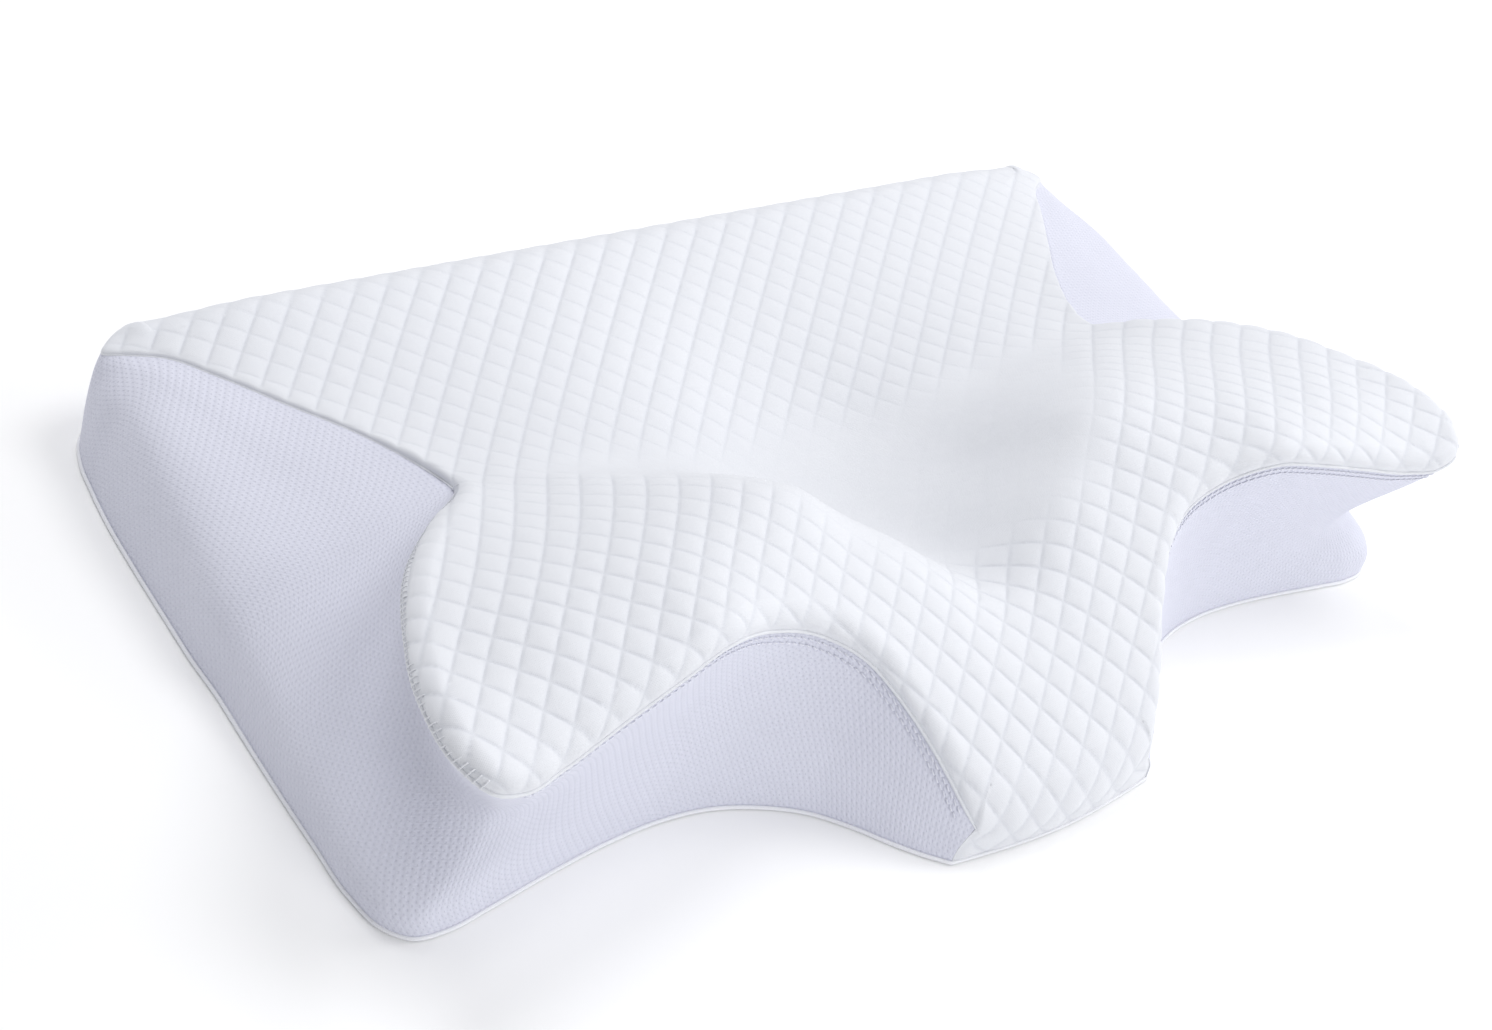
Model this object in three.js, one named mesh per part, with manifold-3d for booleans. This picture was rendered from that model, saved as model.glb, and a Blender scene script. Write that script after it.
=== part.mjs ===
// Butterfly cervical contour pillow: moulded foam core, thin inner liner and a
// sewn, zip-off outer cover. Millimetres, +Z up, +X to the sleeper's right as
// the pillow is drawn, +Y toward the straight back edge, -Y toward the neck lip.
import * as THREE from 'three';

// ---------------------------------------------------------------- dimensions
const WIDTH = 640;                 // over both side walls at the base
const DEPTH = 378;                 // neck lip to straight back edge
const RISE = 1.0;                  // height factor on the contour tables
const COVER_THICKNESS = 1.9;       // quilted panel and mesh gussets
const LINER_DEPTH = 2.3;           // outer face of the liner below the cover face
const LINER_THICKNESS = 0.7;
const CORE_DEPTH = 3.5;            // foam skin below the cover face
const SEAM_GAP = 0.35;             // half gap left between sewn panels
const ZIP_TOP = 21.9;              // quilt hem above the zip
const ZIP_MID = 16.6;              // parting line of the zip
const ZIP_BOTTOM = 11.4;           // base panel hem below the zip
const TAPE_DEPTH = 0.25;
const TAPE_THICKNESS = 0.9;
const COIL_HEIGHT = 1.9;
const COIL_THICKNESS = 1.5;
const COIL_GAP = 0.4;
const COIL_HALF_LENGTH = 252;
const SLIDER_LENGTH = 11;
const SLIDER_WIDTH = 9.2;
const SLIDER_WALL = 1.1;
const SLIDER_CLEARANCE = 0.35;
const SLIDER_X = 246.5;            // slider drawn at the closed end
const TAB_LENGTH = 24;
const TAB_WIDTH = 6.4;
const TAB_THICKNESS = 1.3;
const STOP_LENGTH = 4;

// Contour tables, drawing units of 9.5 mm. Left half; the right half mirrors it.
const UNIT_X = WIDTH / (2 * 33.68);
const UNIT_Y = DEPTH / 39.85;
const UNIT_Z = 9.5 * RISE;
// seam between quilted top and mesh gusset, recess under the overhang, crease
// of the lower side wall, base outline: [x, y, z] each, back corner to neck lip
const STATIONS = [
  [[-27.20, 19.05, 2.30], [-27.22, 19.12, 1.80], [-27.25, 19.10, 1.20], [-27.30, 18.85, 0]],
  [[-28.20, 19.20, 3.40], [-28.55, 19.18, 2.50], [-28.75, 19.10, 1.40], [-28.80, 18.85, 0]],
  [[-29.40, 19.25, 4.50], [-29.65, 19.20, 3.30], [-29.80, 19.05, 1.80], [-29.85, 18.75, 0]],
  [[-30.90, 18.60, 4.85], [-31.10, 18.50, 3.80], [-31.25, 18.35, 2.30], [-31.30, 18.20, 0]],
  [[-31.60, 17.80, 5.00], [-31.90, 17.65, 4.30], [-32.15, 17.45, 2.90], [-32.25, 17.35, 0]],
  [[-30.90, 17.15, 5.30], [-31.40, 16.65, 5.00], [-32.25, 16.15, 3.90], [-32.85, 15.90, 0]],
  [[-29.30, 16.05, 5.65], [-30.50, 15.30, 5.45], [-32.00, 14.60, 4.45], [-33.15, 14.20, 0]],
  [[-27.75, 14.00, 5.90], [-29.70, 13.20, 5.65], [-32.10, 12.30, 4.70], [-33.40, 12.00, 0]],
  [[-25.60, 11.10, 6.05], [-28.60, 10.20, 5.60], [-32.25, 9.10, 4.50], [-33.55, 8.90, 0]],
  [[-23.60, 8.40, 6.20], [-27.40, 7.20, 5.55], [-32.40, 5.90, 4.15], [-33.62, 5.60, 0]],
  [[-22.20, 5.80, 6.35], [-26.50, 4.60, 5.60], [-32.60, 3.30, 3.85], [-33.66, 3.00, 0]],
  [[-21.60, 3.40, 6.70], [-26.10, 2.60, 5.80], [-32.55, 1.00, 3.35], [-33.58, 0.70, 0]],
  [[-22.90, 1.70, 7.90], [-26.30, 0.90, 6.00], [-32.75, -0.90, 3.05], [-33.62, -1.20, 0]],
  [[-25.60, -0.30, 8.90], [-27.10, -1.10, 6.20], [-33.00, -2.80, 2.75], [-33.66, -3.10, 0]],
  [[-28.60, -3.00, 9.65], [-28.30, -3.70, 6.20], [-33.25, -5.10, 2.40], [-33.68, -5.40, 0]],
  [[-31.00, -6.70, 10.30], [-29.40, -7.00, 5.80], [-33.45, -8.00, 2.00], [-33.66, -8.20, 0]],
  [[-32.50, -10.30, 10.75], [-29.90, -9.90, 5.10], [-33.50, -10.70, 1.60], [-33.60, -10.90, 0]],
  [[-32.70, -13.20, 10.65], [-29.60, -11.50, 4.50], [-33.10, -12.70, 1.40], [-33.10, -12.90, 0]],
  [[-31.90, -14.70, 10.25], [-29.00, -12.30, 4.20], [-32.20, -13.60, 1.30], [-32.20, -13.80, 0]],
  [[-30.30, -15.00, 9.80], [-28.00, -12.60, 4.10], [-30.50, -13.70, 1.40], [-30.60, -14.00, 0]],
  [[-28.20, -14.50, 9.70], [-26.60, -12.60, 4.40], [-28.40, -13.40, 1.60], [-28.60, -13.75, 0]],
  [[-24.80, -13.70, 10.20], [-24.20, -12.40, 5.20], [-25.10, -12.90, 2.00], [-25.30, -13.25, 0]],
  [[-21.40, -13.00, 10.80], [-21.40, -12.10, 5.80], [-21.80, -12.45, 2.30], [-21.90, -12.85, 0]],
  [[-18.30, -12.25, 11.00], [-18.40, -11.75, 6.00], [-18.60, -12.25, 2.50], [-18.70, -12.75, 0]],
  [[-15.40, -11.65, 10.10], [-15.70, -11.80, 5.80], [-15.90, -12.55, 2.50], [-16.00, -13.10, 0]],
  [[-12.60, -11.95, 9.20], [-13.20, -12.50, 5.40], [-13.60, -13.40, 2.40], [-13.80, -13.90, 0]],
  [[-10.30, -13.35, 8.10], [-11.00, -13.90, 4.80], [-11.50, -14.70, 2.20], [-11.80, -15.05, 0]],
  [[-8.70, -15.50, 6.40], [-9.30, -15.95, 3.90], [-9.90, -16.35, 1.80], [-10.20, -16.60, 0]],
  [[-7.50, -17.60, 4.55], [-8.10, -17.85, 2.80], [-8.60, -18.05, 1.30], [-8.90, -18.20, 0]],
  [[-6.60, -19.20, 2.90], [-7.20, -19.25, 1.80], [-7.55, -19.30, 0.90], [-7.80, -19.40, 0]],
  [[-6.00, -20.05, 1.90], [-6.45, -20.10, 1.45], [-6.75, -20.15, 0.90], [-6.85, -20.25, 0]],
];
const SEAM_START = 2;              // first station whose seam bounds the top face
// edge roll radius of the quilted top at each station, same units
const ROLL = [0.8, 1.0, 1.3, 0.6, 0.35, 0.4, 0.5, 0.45, 0.4, 0.4, 0.45, 0.5, 0.8, 0.9, 0.95, 0.95, 0.95, 0.9, 0.85, 0.85,
  0.85, 0.85, 0.85, 0.9, 0.9, 0.9, 0.85, 0.8, 0.8, 0.9, 1.2];
const BACK_X = [-22, -16.5, -11, -5.5, 0, 5.5, 11, 16.5, 22];
const BACK_EDGE = [19.30, 4.50, 2.1];   // y, z, roll of the back shoulder line
const LIP_EDGE = [[-3.4, -20.62, 1.15], [0, -20.80, 1.10], [3.4, -20.62, 1.15]];
const LIP_ROLL = 1.5;
// top contour: [x, y, z] of the surface before the edge roll, left half and centre
const CONTOUR = [
  [0, 19.0, 6.75], [0, 14, 6.4], [0, 9, 5.7], [0, 5, 4.9], [0, 1, 4.4], [0, -3, 4.6], [0, -7, 5.8], [0, -10, 7.0],
  [0, -12.5, 7.6], [0, -15, 6.8], [0, -17.5, 5.2], [0, -19.2, 3.8], [0, -20.8, 2.6],
  [-3, -6, 6.9], [-3, -8.5, 8.0], [-3.2, -11, 8.5],
  [-6, 19.0, 6.75], [-6, 12, 6.3], [-6, 6, 5.6], [-6, 1, 5.0], [-6, -3, 6.5], [-6, -6, 8.9], [-5.2, -9, 9.5],
  [-6, -12.5, 8.7], [-6, -15.5, 6.9], [-5.5, -18, 4.9], [-5.5, -20.2, 3.0],
  [-9, -5, 10.8], [-9, -9, 10.4],
  [-12, 19.0, 6.7], [-12, 12, 6.3], [-12, 6, 6.0], [-12, 2, 6.6], [-12, -1, 8.9], [-12, -3.5, 10.9], [-12, -6, 11.6],
  [-12, -9, 11.1],
  [-17, 19.0, 6.65], [-17, 12, 6.25], [-17, 6, 6.3], [-17, 3, 7.0], [-17, 0, 8.9], [-17, -3, 10.6], [-17, -6, 11.6],
  [-17, -9, 11.9],
  [-22, 19.0, 6.6], [-22, 12, 6.2], [-22, -2, 10.0], [-22, -5.5, 11.2], [-22, -9.5, 11.9],
  [-26, 19.0, 6.5], [-26, -3.5, 10.5], [-26, -7, 11.4], [-26, -11, 11.7],
  [-30, -8.5, 11.3], [-30, -12, 11.4],
];
const TOP_RINGS = [0.30, 1.0];     // roll rings, fraction of the local roll radius
const INNER_SPACING = 3.1;         // interior point spacing of the top, drawing units
const GUSSET_ROWS = 6;
const BASE_RINGS = [0.72, 0.40];

// ---------------------------------------------------------------- helpers
const mm = (p) => [p[0] * UNIT_X, p[1] * UNIT_Y, p[2] * UNIT_Z];
const lerp = (a, b, t) => a.map((v, i) => v + (b[i] - v) * t);

// thin-plate surface through the contour points, in drawing units
function contourSurface() {
  const pts = [];
  const add = (x, y, z) => { pts.push([x, y, z]); if (Math.abs(x) > 1e-6) pts.push([-x, y, z]); };
  CONTOUR.forEach((p) => add(...p));
  for (let i = SEAM_START; i < STATIONS.length; i++) {
    const s = STATIONS[i][0];
    add(s[0], s[1], s[2] + ROLL[i]);
  }
  const n = pts.length, m = n + 3;
  const kernel = (dx, dy) => { const r2 = dx * dx + dy * dy; return r2 < 1e-12 ? 0 : 0.5 * r2 * Math.log(r2); };
  const A = Array.from({ length: m }, () => new Float64Array(m + 1));
  for (let i = 0; i < n; i++) {
    for (let j = 0; j < n; j++) A[i][j] = kernel(pts[i][0] - pts[j][0], pts[i][1] - pts[j][1]);
    A[i][i] += 0.4;
    A[i][n] = A[n][i] = 1; A[i][n + 1] = A[n + 1][i] = pts[i][0]; A[i][n + 2] = A[n + 2][i] = pts[i][1];
    A[i][m] = pts[i][2];
  }
  for (let c = 0; c < m; c++) {
    let p = c;
    for (let r = c + 1; r < m; r++) if (Math.abs(A[r][c]) > Math.abs(A[p][c])) p = r;
    [A[c], A[p]] = [A[p], A[c]];
    for (let r = 0; r < m; r++) {
      if (r === c) continue;
      const f = A[r][c] / A[c][c];
      if (f) for (let k = c; k <= m; k++) A[r][k] -= f * A[c][k];
    }
  }
  const w = A.map((row, i) => row[m] / row[i]);
  return (x, y) => {
    let z = w[n] + w[n + 1] * x + w[n + 2] * y;
    for (let i = 0; i < n; i++) z += w[i] * kernel(x - pts[i][0], y - pts[i][1]);
    return z;
  };
}

// ---------------------------------------------------------------- outer body
const verts = [], faces = [];      // faces: [a, b, c, region]
const vertex = (p) => { verts.push(p.slice()); return verts.length - 1; };
const tri = (a, b, c, region) => faces.push([a, b, c, region]);
const quad = (a, b, c, d, region) => {       // split along the shorter diagonal
  const dist = (i, j) => Math.hypot(...verts[i].map((v, k) => v - verts[j][k]));
  if (dist(a, c) <= dist(b, d)) { tri(a, b, c, region); tri(a, c, d, region); }
  else { tri(a, b, d, region); tri(b, c, d, region); }
};

const mirror = (p) => [-p[0], p[1], p[2]];
const nStations = STATIONS.length;
const left = STATIONS.map((s) => s.map(mm));

// gusset rows: a smooth section through seam, recess, crease and base outline
function section(st) {
  const [S, R, K, B] = st;
  const P = [S, R, K, B];
  const curve = new THREE.CatmullRomCurve3(P.map((p) => new THREE.Vector3(...p)), false, 'centripetal');
  const out = [];
  const marks = [0, 0.16, 0.333, 0.52, 0.667, 0.85, 1];
  for (let i = 0; i <= GUSSET_ROWS; i++) {
    const v = curve.getPoint(marks[i]);
    out.push([v.x, v.y, Math.max(0, v.z)]);
  }
  return out;
}
const gridL = left.map((st) => section(st).map(vertex));
const gridR = left.map((st) => section(st).map((p) => vertex(mirror(p))));
for (let i = 0; i + 1 < nStations; i++) {
  for (let j = 0; j < GUSSET_ROWS; j++) {
    quad(gridL[i][j], gridL[i][j + 1], gridL[i + 1][j + 1], gridL[i + 1][j], 'gusset_left');
    quad(gridR[i][j], gridR[i + 1][j], gridR[i + 1][j + 1], gridR[i][j + 1], 'gusset_right');
  }
}

// back wall: quilted strip, zip band, base panel flange
const backLevels = [[BACK_EDGE[0], BACK_EDGE[1] * UNIT_Z], [19.22, 3.40 * UNIT_Z], [19.05, ZIP_TOP], [19.10, ZIP_MID],
  [19.08, ZIP_BOTTOM], [18.85, 0]];
const backCols = BACK_X.map((x) => backLevels.map(([y, z]) => vertex([x * UNIT_X, y * UNIT_Y, z])));
// the two gusset start edges supply the end columns
const endCol = (grid) => {
  const s = grid[0], e = [grid[2][0], grid[1][0], s[0]];
  const zipMid = vertexAt(s, ZIP_MID), zipLow = vertexAt(s, ZIP_BOTTOM);
  return [...e, zipMid, zipLow, s[GUSSET_ROWS]];
};
function vertexAt(col, z) {        // nearest row of a column, set to the wanted level
  let best = 1, d = Infinity;
  for (let j = 1; j < GUSSET_ROWS; j++) { const e = Math.abs(verts[col[j]][2] - z); if (e < d) { d = e; best = j; } }
  return col[best];
}
// rows of the first station are placed on the zip levels exactly
[gridL, gridR].forEach((grid, side) => {
  const s = side ? 1 : -1, x = 27.24 * UNIT_X * s;
  const lv = [[19.05, ZIP_TOP], [19.09, (ZIP_TOP + ZIP_MID) / 2], [19.10, ZIP_MID], [19.09, (ZIP_MID + ZIP_BOTTOM) / 2],
    [19.08, ZIP_BOTTOM], [19.0, ZIP_BOTTOM / 2], [18.85, 0]];
  lv.forEach(([y, z], j) => { verts[grid[0][j]] = [x, y * UNIT_Y, z]; });
});
const colL = endCol(gridL), colR = endCol(gridR);
const cols = [colL, ...backCols, colR];
const levelRegion = ['top', 'top', 'zip_upper', 'zip_lower', 'base'];
for (let i = 0; i + 1 < cols.length; i++) {
  for (let j = 0; j < 5; j++) {
    const first = i === 0, last = i + 2 === cols.length;
    if (j < 2 || (!first && !last)) {
      quad(cols[i][j], cols[i + 1][j], cols[i + 1][j + 1], cols[i][j + 1], levelRegion[j]);
      continue;
    }
    // end cells share the gusset's extra mid rows
    const g = first ? gridL[0] : gridR[0];
    const lo = { 2: [0, 1, 2], 3: [2, 3, 4], 4: [4, 5, 6] }[j].map((k) => g[k]);
    const o = first ? cols[i + 1] : cols[i];
    if (first) {
      tri(lo[0], o[j], lo[1], levelRegion[j]); tri(lo[1], o[j], o[j + 1], levelRegion[j]); tri(lo[1], o[j + 1], lo[2], levelRegion[j]);
    } else {
      tri(lo[0], lo[1], o[j], levelRegion[j]); tri(lo[1], o[j + 1], o[j], levelRegion[j]); tri(lo[1], lo[2], o[j + 1], levelRegion[j]);
    }
  }
}

// boundary loop of the top face, counter-clockwise seen from above, with roll radii
const loop = [];                   // {v, roll}
const seamIdx = []; for (let i = SEAM_START; i < nStations; i++) seamIdx.push(i);
BACK_X.forEach((_, k) => loop.push({ v: backCols[BACK_X.length - 1 - k][0], roll: BACK_EDGE[2] }));
seamIdx.forEach((i) => loop.push({ v: gridL[i][0], roll: ROLL[i] }));
const lipVerts = LIP_EDGE.map((p) => vertex(mm(p)));
lipVerts.forEach((v) => loop.push({ v, roll: LIP_ROLL }));
[...seamIdx].reverse().forEach((i) => loop.push({ v: gridR[i][0], roll: ROLL[i] }));

const surface = contourSurface();
const loopXY = loop.map((l) => [verts[l.v][0] / UNIT_X, verts[l.v][1] / UNIT_Y]);
function edgeDistance(x, y) {      // distance to the loop and roll radius there
  let best = Infinity, roll = 1;
  for (let i = 0; i < loopXY.length; i++) {
    const a = loopXY[i], b = loopXY[(i + 1) % loopXY.length];
    const dx = b[0] - a[0], dy = b[1] - a[1];
    const t = Math.min(1, Math.max(0, ((x - a[0]) * dx + (y - a[1]) * dy) / (dx * dx + dy * dy)));
    const d = Math.hypot(x - a[0] - t * dx, y - a[1] - t * dy);
    if (d < best) { best = d; roll = loop[i].roll * (1 - t) + loop[(i + 1) % loop.length].roll * t; }
  }
  return [best, roll];
}
function topHeight(x, y) {
  const [s, r] = edgeDistance(x, y);
  const z = surface(x, y);
  return s >= r ? z : z - r + Math.sqrt(Math.max(0, r * r - (r - s) * (r - s)));
}
const nLoop = loop.length;
const inward = loopXY.map((p, i) => {
  const a = loopXY[(i + nLoop - 1) % nLoop], b = loopXY[(i + 1) % nLoop];
  const tx = b[0] - a[0], ty = b[1] - a[1], l = Math.hypot(tx, ty);
  return [-ty / l, tx / l];
});
let ring = loop.map((l) => l.v);
const rings = [];
TOP_RINGS.forEach((f) => {
  rings.push(loopXY.map((p, i) => {
    const s = f * loop[i].roll;
    return [p[0] + inward[i][0] * s, p[1] + inward[i][1] * s];
  }));
});
rings.forEach((pts) => {
  const next = pts.map(([x, y]) => vertex([x * UNIT_X, y * UNIT_Y, topHeight(x, y) * UNIT_Z]));
  for (let i = 0; i < nLoop; i++) {
    const k = (i + 1) % nLoop;
    quad(ring[i], ring[k], next[k], next[i], 'top');
  }
  ring = next;
});
// close a ring with a strip between its back and front chains
function closeRing(r, up, region) {
  const n = r.length;
  let l = 0, e = 0;
  r.forEach((v, i) => { if (verts[v][0] < verts[r[l]][0]) l = i; if (verts[v][0] > verts[r[e]][0]) e = i; });
  const walk = (from, to, step) => { const o = []; for (let i = from; ; i = (i + step + n) % n) { o.push(r[i]); if (i === to) return o; } };
  const front = walk(l, e, 1), back = walk(l, e, -1);
  const gap = (i, j) => Math.hypot(verts[i][0] - verts[j][0], verts[i][1] - verts[j][1]);
  const face = (a, b, c) => { if (up) tri(a, b, c, region); else tri(a, c, b, region); };
  let i = 0, j = 0;
  while (i + 1 < front.length || j + 1 < back.length) {
    const stepFront = j + 1 >= back.length || (i + 1 < front.length && gap(front[i + 1], back[j]) <= gap(front[i], back[j + 1]));
    if (i === 0 && j === 0) { face(front[0], front[1], back[1]); i = 1; j = 1; continue; }
    if (front[i] === back[j]) break;
    if (stepFront) {
      if (front[i + 1] !== back[j]) face(front[i], front[i + 1], back[j]);
      i++;
    } else {
      if (back[j + 1] !== front[i]) face(front[i], back[j + 1], back[j]);
      j++;
    }
  }
}
// interior of the top: triangular point pattern joined by a Delaunay mesh
{
  const poly = rings[rings.length - 1], nP = poly.length;
  const inside = (x, y) => {
    let c = false;
    for (let i = 0, j = nP - 1; i < nP; j = i++) {
      const [xi, yi] = poly[i], [xj, yj] = poly[j];
      if ((yi > y) !== (yj > y) && x < (xj - xi) * (y - yi) / (yj - yi) + xi) c = !c;
    }
    return c;
  };
  const pts = poly.map((p) => p.slice());
  const rowH = INNER_SPACING * Math.sqrt(3) / 2;
  for (let r = 0; r < 16; r++) {
    const y = 17.2 - r * rowH;
    for (let k = -12; k <= 12; k++) {
      const x = (k + (r % 2 ? 0.5 : 0)) * INNER_SPACING;
      if (!inside(x, y)) continue;
      let ok = true;
      for (let i = 0; i < nP && ok; i++) {
        const a = poly[i], b = poly[(i + 1) % nP];
        const half = Math.hypot(b[0] - a[0], b[1] - a[1]) / 2;
        if (Math.hypot(x - (a[0] + b[0]) / 2, y - (a[1] + b[1]) / 2) < half * 1.05) ok = false;
        const t = Math.min(1, Math.max(0, ((x - a[0]) * (b[0] - a[0]) + (y - a[1]) * (b[1] - a[1])) / (4 * half * half)));
        if (Math.hypot(x - a[0] - t * (b[0] - a[0]), y - a[1] - t * (b[1] - a[1])) < 1.3) ok = false;
      }
      if (ok) pts.push([x + 1e-3 * Math.sin(7 * y + 3 * Math.abs(x)) * Math.sign(x), y + 1e-3 * Math.cos(5 * Math.abs(x) + y)]);
    }
  }
  const n = pts.length, P = [...pts, [-500, -400], [500, -400], [0, 700]];
  let T = [[n, n + 1, n + 2]];
  const inCircle = (t, p) => {
    const [a, b, c] = t.map((i) => [P[i][0] - p[0], P[i][1] - p[1]]);
    const d = (u) => u[0] * u[0] + u[1] * u[1];
    return a[0] * (b[1] * d(c) - c[1] * d(b)) - a[1] * (b[0] * d(c) - c[0] * d(b)) + d(a) * (b[0] * c[1] - c[0] * b[1]) > 0;
  };
  for (let i = 0; i < n; i++) {
    const bad = T.filter((t) => inCircle(t, P[i]));
    const edges = new Map();
    bad.forEach((t) => { for (let k = 0; k < 3; k++) { const a = t[k], b = t[(k + 1) % 3]; if (edges.has(`${b}_${a}`)) edges.delete(`${b}_${a}`); else edges.set(`${a}_${b}`, [a, b]); } });
    T = T.filter((t) => !bad.includes(t));
    edges.forEach(([a, b]) => T.push([a, b, i]));
  }
  const ids = pts.map((p, i) => (i < nP ? ring[i] : vertex([p[0] * UNIT_X, p[1] * UNIT_Y, topHeight(p[0], p[1]) * UNIT_Z])));
  T.forEach(([a, b, c]) => {
    if (a >= n || b >= n || c >= n) return;
    if (inside((P[a][0] + P[b][0] + P[c][0]) / 3, (P[a][1] + P[b][1] + P[c][1]) / 3)) tri(ids[a], ids[b], ids[c], 'top');
  });
}
// short run between the last seam station and the lip edge down to the base line
const lipBase = LIP_EDGE.map((p) => vertex([p[0] * UNIT_X, p[1] * UNIT_Y, 0]));
const lipTop = [gridL[nStations - 1][0], ...lipVerts, gridR[nStations - 1][0]];
const lipLow = [gridL[nStations - 1][GUSSET_ROWS], ...lipBase, gridR[nStations - 1][GUSSET_ROWS]];
for (let i = 0; i + 1 < lipTop.length; i++) {
  const gl = gridL[nStations - 1], gr = gridR[nStations - 1];
  if (i === 0) {
    for (let j = 0; j < GUSSET_ROWS; j++) tri(gl[j], gl[j + 1], lipTop[1], 'top');
    tri(lipTop[1], gl[GUSSET_ROWS], lipLow[1], 'top');
  } else if (i + 2 === lipTop.length) {
    for (let j = 0; j < GUSSET_ROWS; j++) tri(gr[j], lipTop[i], gr[j + 1], 'top');
    tri(lipTop[i], lipLow[i], gr[GUSSET_ROWS], 'top');
  } else quad(lipTop[i], lipLow[i], lipLow[i + 1], lipTop[i + 1], 'top');
}
// base: outline loop closed with two rings and a flat centre
const baseLoop = [];
[...BACK_X].reverse().forEach((x, k) => baseLoop.push(backCols[BACK_X.length - 1 - k][5]));
gridL.forEach((g) => baseLoop.push(g[GUSSET_ROWS]));
lipBase.forEach((v) => baseLoop.push(v));
[...gridR].reverse().forEach((g) => baseLoop.push(g[GUSSET_ROWS]));
{
  let prev = baseLoop;
  const c0 = verts.map((p) => p.slice());
  BASE_RINGS.forEach((f) => {
    const next = baseLoop.map((v) => {
      const p = c0[v], q = Math.max(-150, Math.min(150, p[0] * 0.5));
      return vertex([(q + (p[0] - q) * f) * (1 + 0.22 * (1 - f) * (1 - (p[1] / 200) ** 2)), p[1] * f, 0]);
    });
    for (let i = 0; i < baseLoop.length; i++) {
      const k = (i + 1) % baseLoop.length;
      quad(prev[i], next[i], next[k], prev[k], 'base');
    }
    prev = next;
  });
  closeRing(prev, false, 'base');
}

// vertex normals of the whole outer body
const normals = verts.map(() => [0, 0, 0]);
const faceN = (f) => {
  const [a, b, c] = f.slice(0, 3).map((i) => verts[i]);
  const u = b.map((v, k) => v - a[k]), w = c.map((v, k) => v - a[k]);
  return [u[1] * w[2] - u[2] * w[1], u[2] * w[0] - u[0] * w[2], u[0] * w[1] - u[1] * w[0]];
};
faces.forEach((f) => {
  const n = faceN(f), l = Math.hypot(...n) || 1;
  for (let k = 0; k < 3; k++) {     // angle weighted
    const p = verts[f[k]], a = verts[f[(k + 1) % 3]], b = verts[f[(k + 2) % 3]];
    const u = a.map((v, i) => v - p[i]), w = b.map((v, i) => v - p[i]);
    const cos = (u[0] * w[0] + u[1] * w[1] + u[2] * w[2]) / ((Math.hypot(...u) * Math.hypot(...w)) || 1);
    const ang = Math.acos(Math.max(-1, Math.min(1, cos)));
    n.forEach((v, i) => { normals[f[k]][i] += v / l * ang; });
  }
});
normals.forEach((n) => { const l = Math.hypot(...n) || 1; n.forEach((v, i) => { n[i] = v / l; }); });

const geometry = (positions, index) => {
  const g = new THREE.BufferGeometry();
  g.setAttribute('position', new THREE.Float32BufferAttribute(positions.flat(), 3));
  g.setIndex(index);
  g.computeVertexNormals();
  return g;
};
const sunk = (i, d) => verts[i].map((v, k) => v - normals[i][k] * d);

// closed sheet over some regions, from depth d0 to depth d1 below the outer face
function sheet(regions, d0, d1, gap) {
  const own = faces.filter((f) => regions.includes(f[3]));
  const used = new Map();
  const edgeCount = new Map();
  own.forEach((f) => {
    for (let k = 0; k < 3; k++) {
      if (!used.has(f[k])) used.set(f[k], used.size);
      const a = f[k], b = f[(k + 1) % 3];
      const key = `${Math.min(a, b)}_${Math.max(a, b)}`;
      if (edgeCount.has(key)) edgeCount.get(key).n++; else edgeCount.set(key, { n: 1, a, b, f });
    }
  });
  const rim = [...edgeCount.values()].filter((e) => e.n === 1);
  const pull = new Map();
  const rimSet = new Set(); rim.forEach((e) => { rimSet.add(e.a); rimSet.add(e.b); });
  rim.forEach((e) => {            // into the sheet, square to each rim edge
    const A = verts[e.a], B = verts[e.b], raw = faceN(e.f), rl = Math.hypot(...raw) || 1, n = raw.map((v) => v / rl);
    const t = B.map((v, k) => v - A[k]);
    const d = [n[1] * t[2] - n[2] * t[1], n[2] * t[0] - n[0] * t[2], n[0] * t[1] - n[1] * t[0]];
    const l = Math.hypot(...d) || 1;
    [e.a, e.b].forEach((i) => {
      const p = pull.get(i) || [0, 0, 0];
      pull.set(i, p.map((v, k) => v + d[k] / l));
    });
  });
  const ids = [...used.keys()];
  const N = ids.length;
  const at = (i, d) => {
    const p = sunk(i, d);
    if (!rimSet.has(i) || !gap) return p;
    const q = pull.get(i), l = Math.hypot(...q) || 1;
    return p.map((v, k) => v + q[k] / l * gap);
  };
  const pos = [...ids.map((i) => at(i, d0)), ...ids.map((i) => at(i, d1))];
  const index = [];
  own.forEach((f) => {
    const [a, b, c] = f.slice(0, 3).map((i) => used.get(i));
    index.push(a, b, c, a + N, c + N, b + N);
  });
  rim.forEach((e) => {
    const a = used.get(e.a), b = used.get(e.b);
    index.push(b, a, a + N, b, a + N, b + N);
  });
  return geometry(pos, index);
}
// closed solid of the whole body at one depth
function solidAt(depth) {
  return geometry(verts.map((_, i) => sunk(i, depth)), faces.flatMap((f) => f.slice(0, 3)));
}
// prism of a YZ outline between two X stations
function prismX(outline, x0, x1) {
  const shape = new THREE.Shape(outline.map(([y, z]) => new THREE.Vector2(y, z)));
  const g = new THREE.ExtrudeGeometry(shape, { depth: x1 - x0, bevelEnabled: false, steps: 1 });
  // local x,y,z -> world y,z,x
  g.applyMatrix4(new THREE.Matrix4().set(0, 0, 1, x0, 1, 0, 0, 0, 0, 1, 0, 0, 0, 0, 0, 1));
  return g;
}
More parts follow.
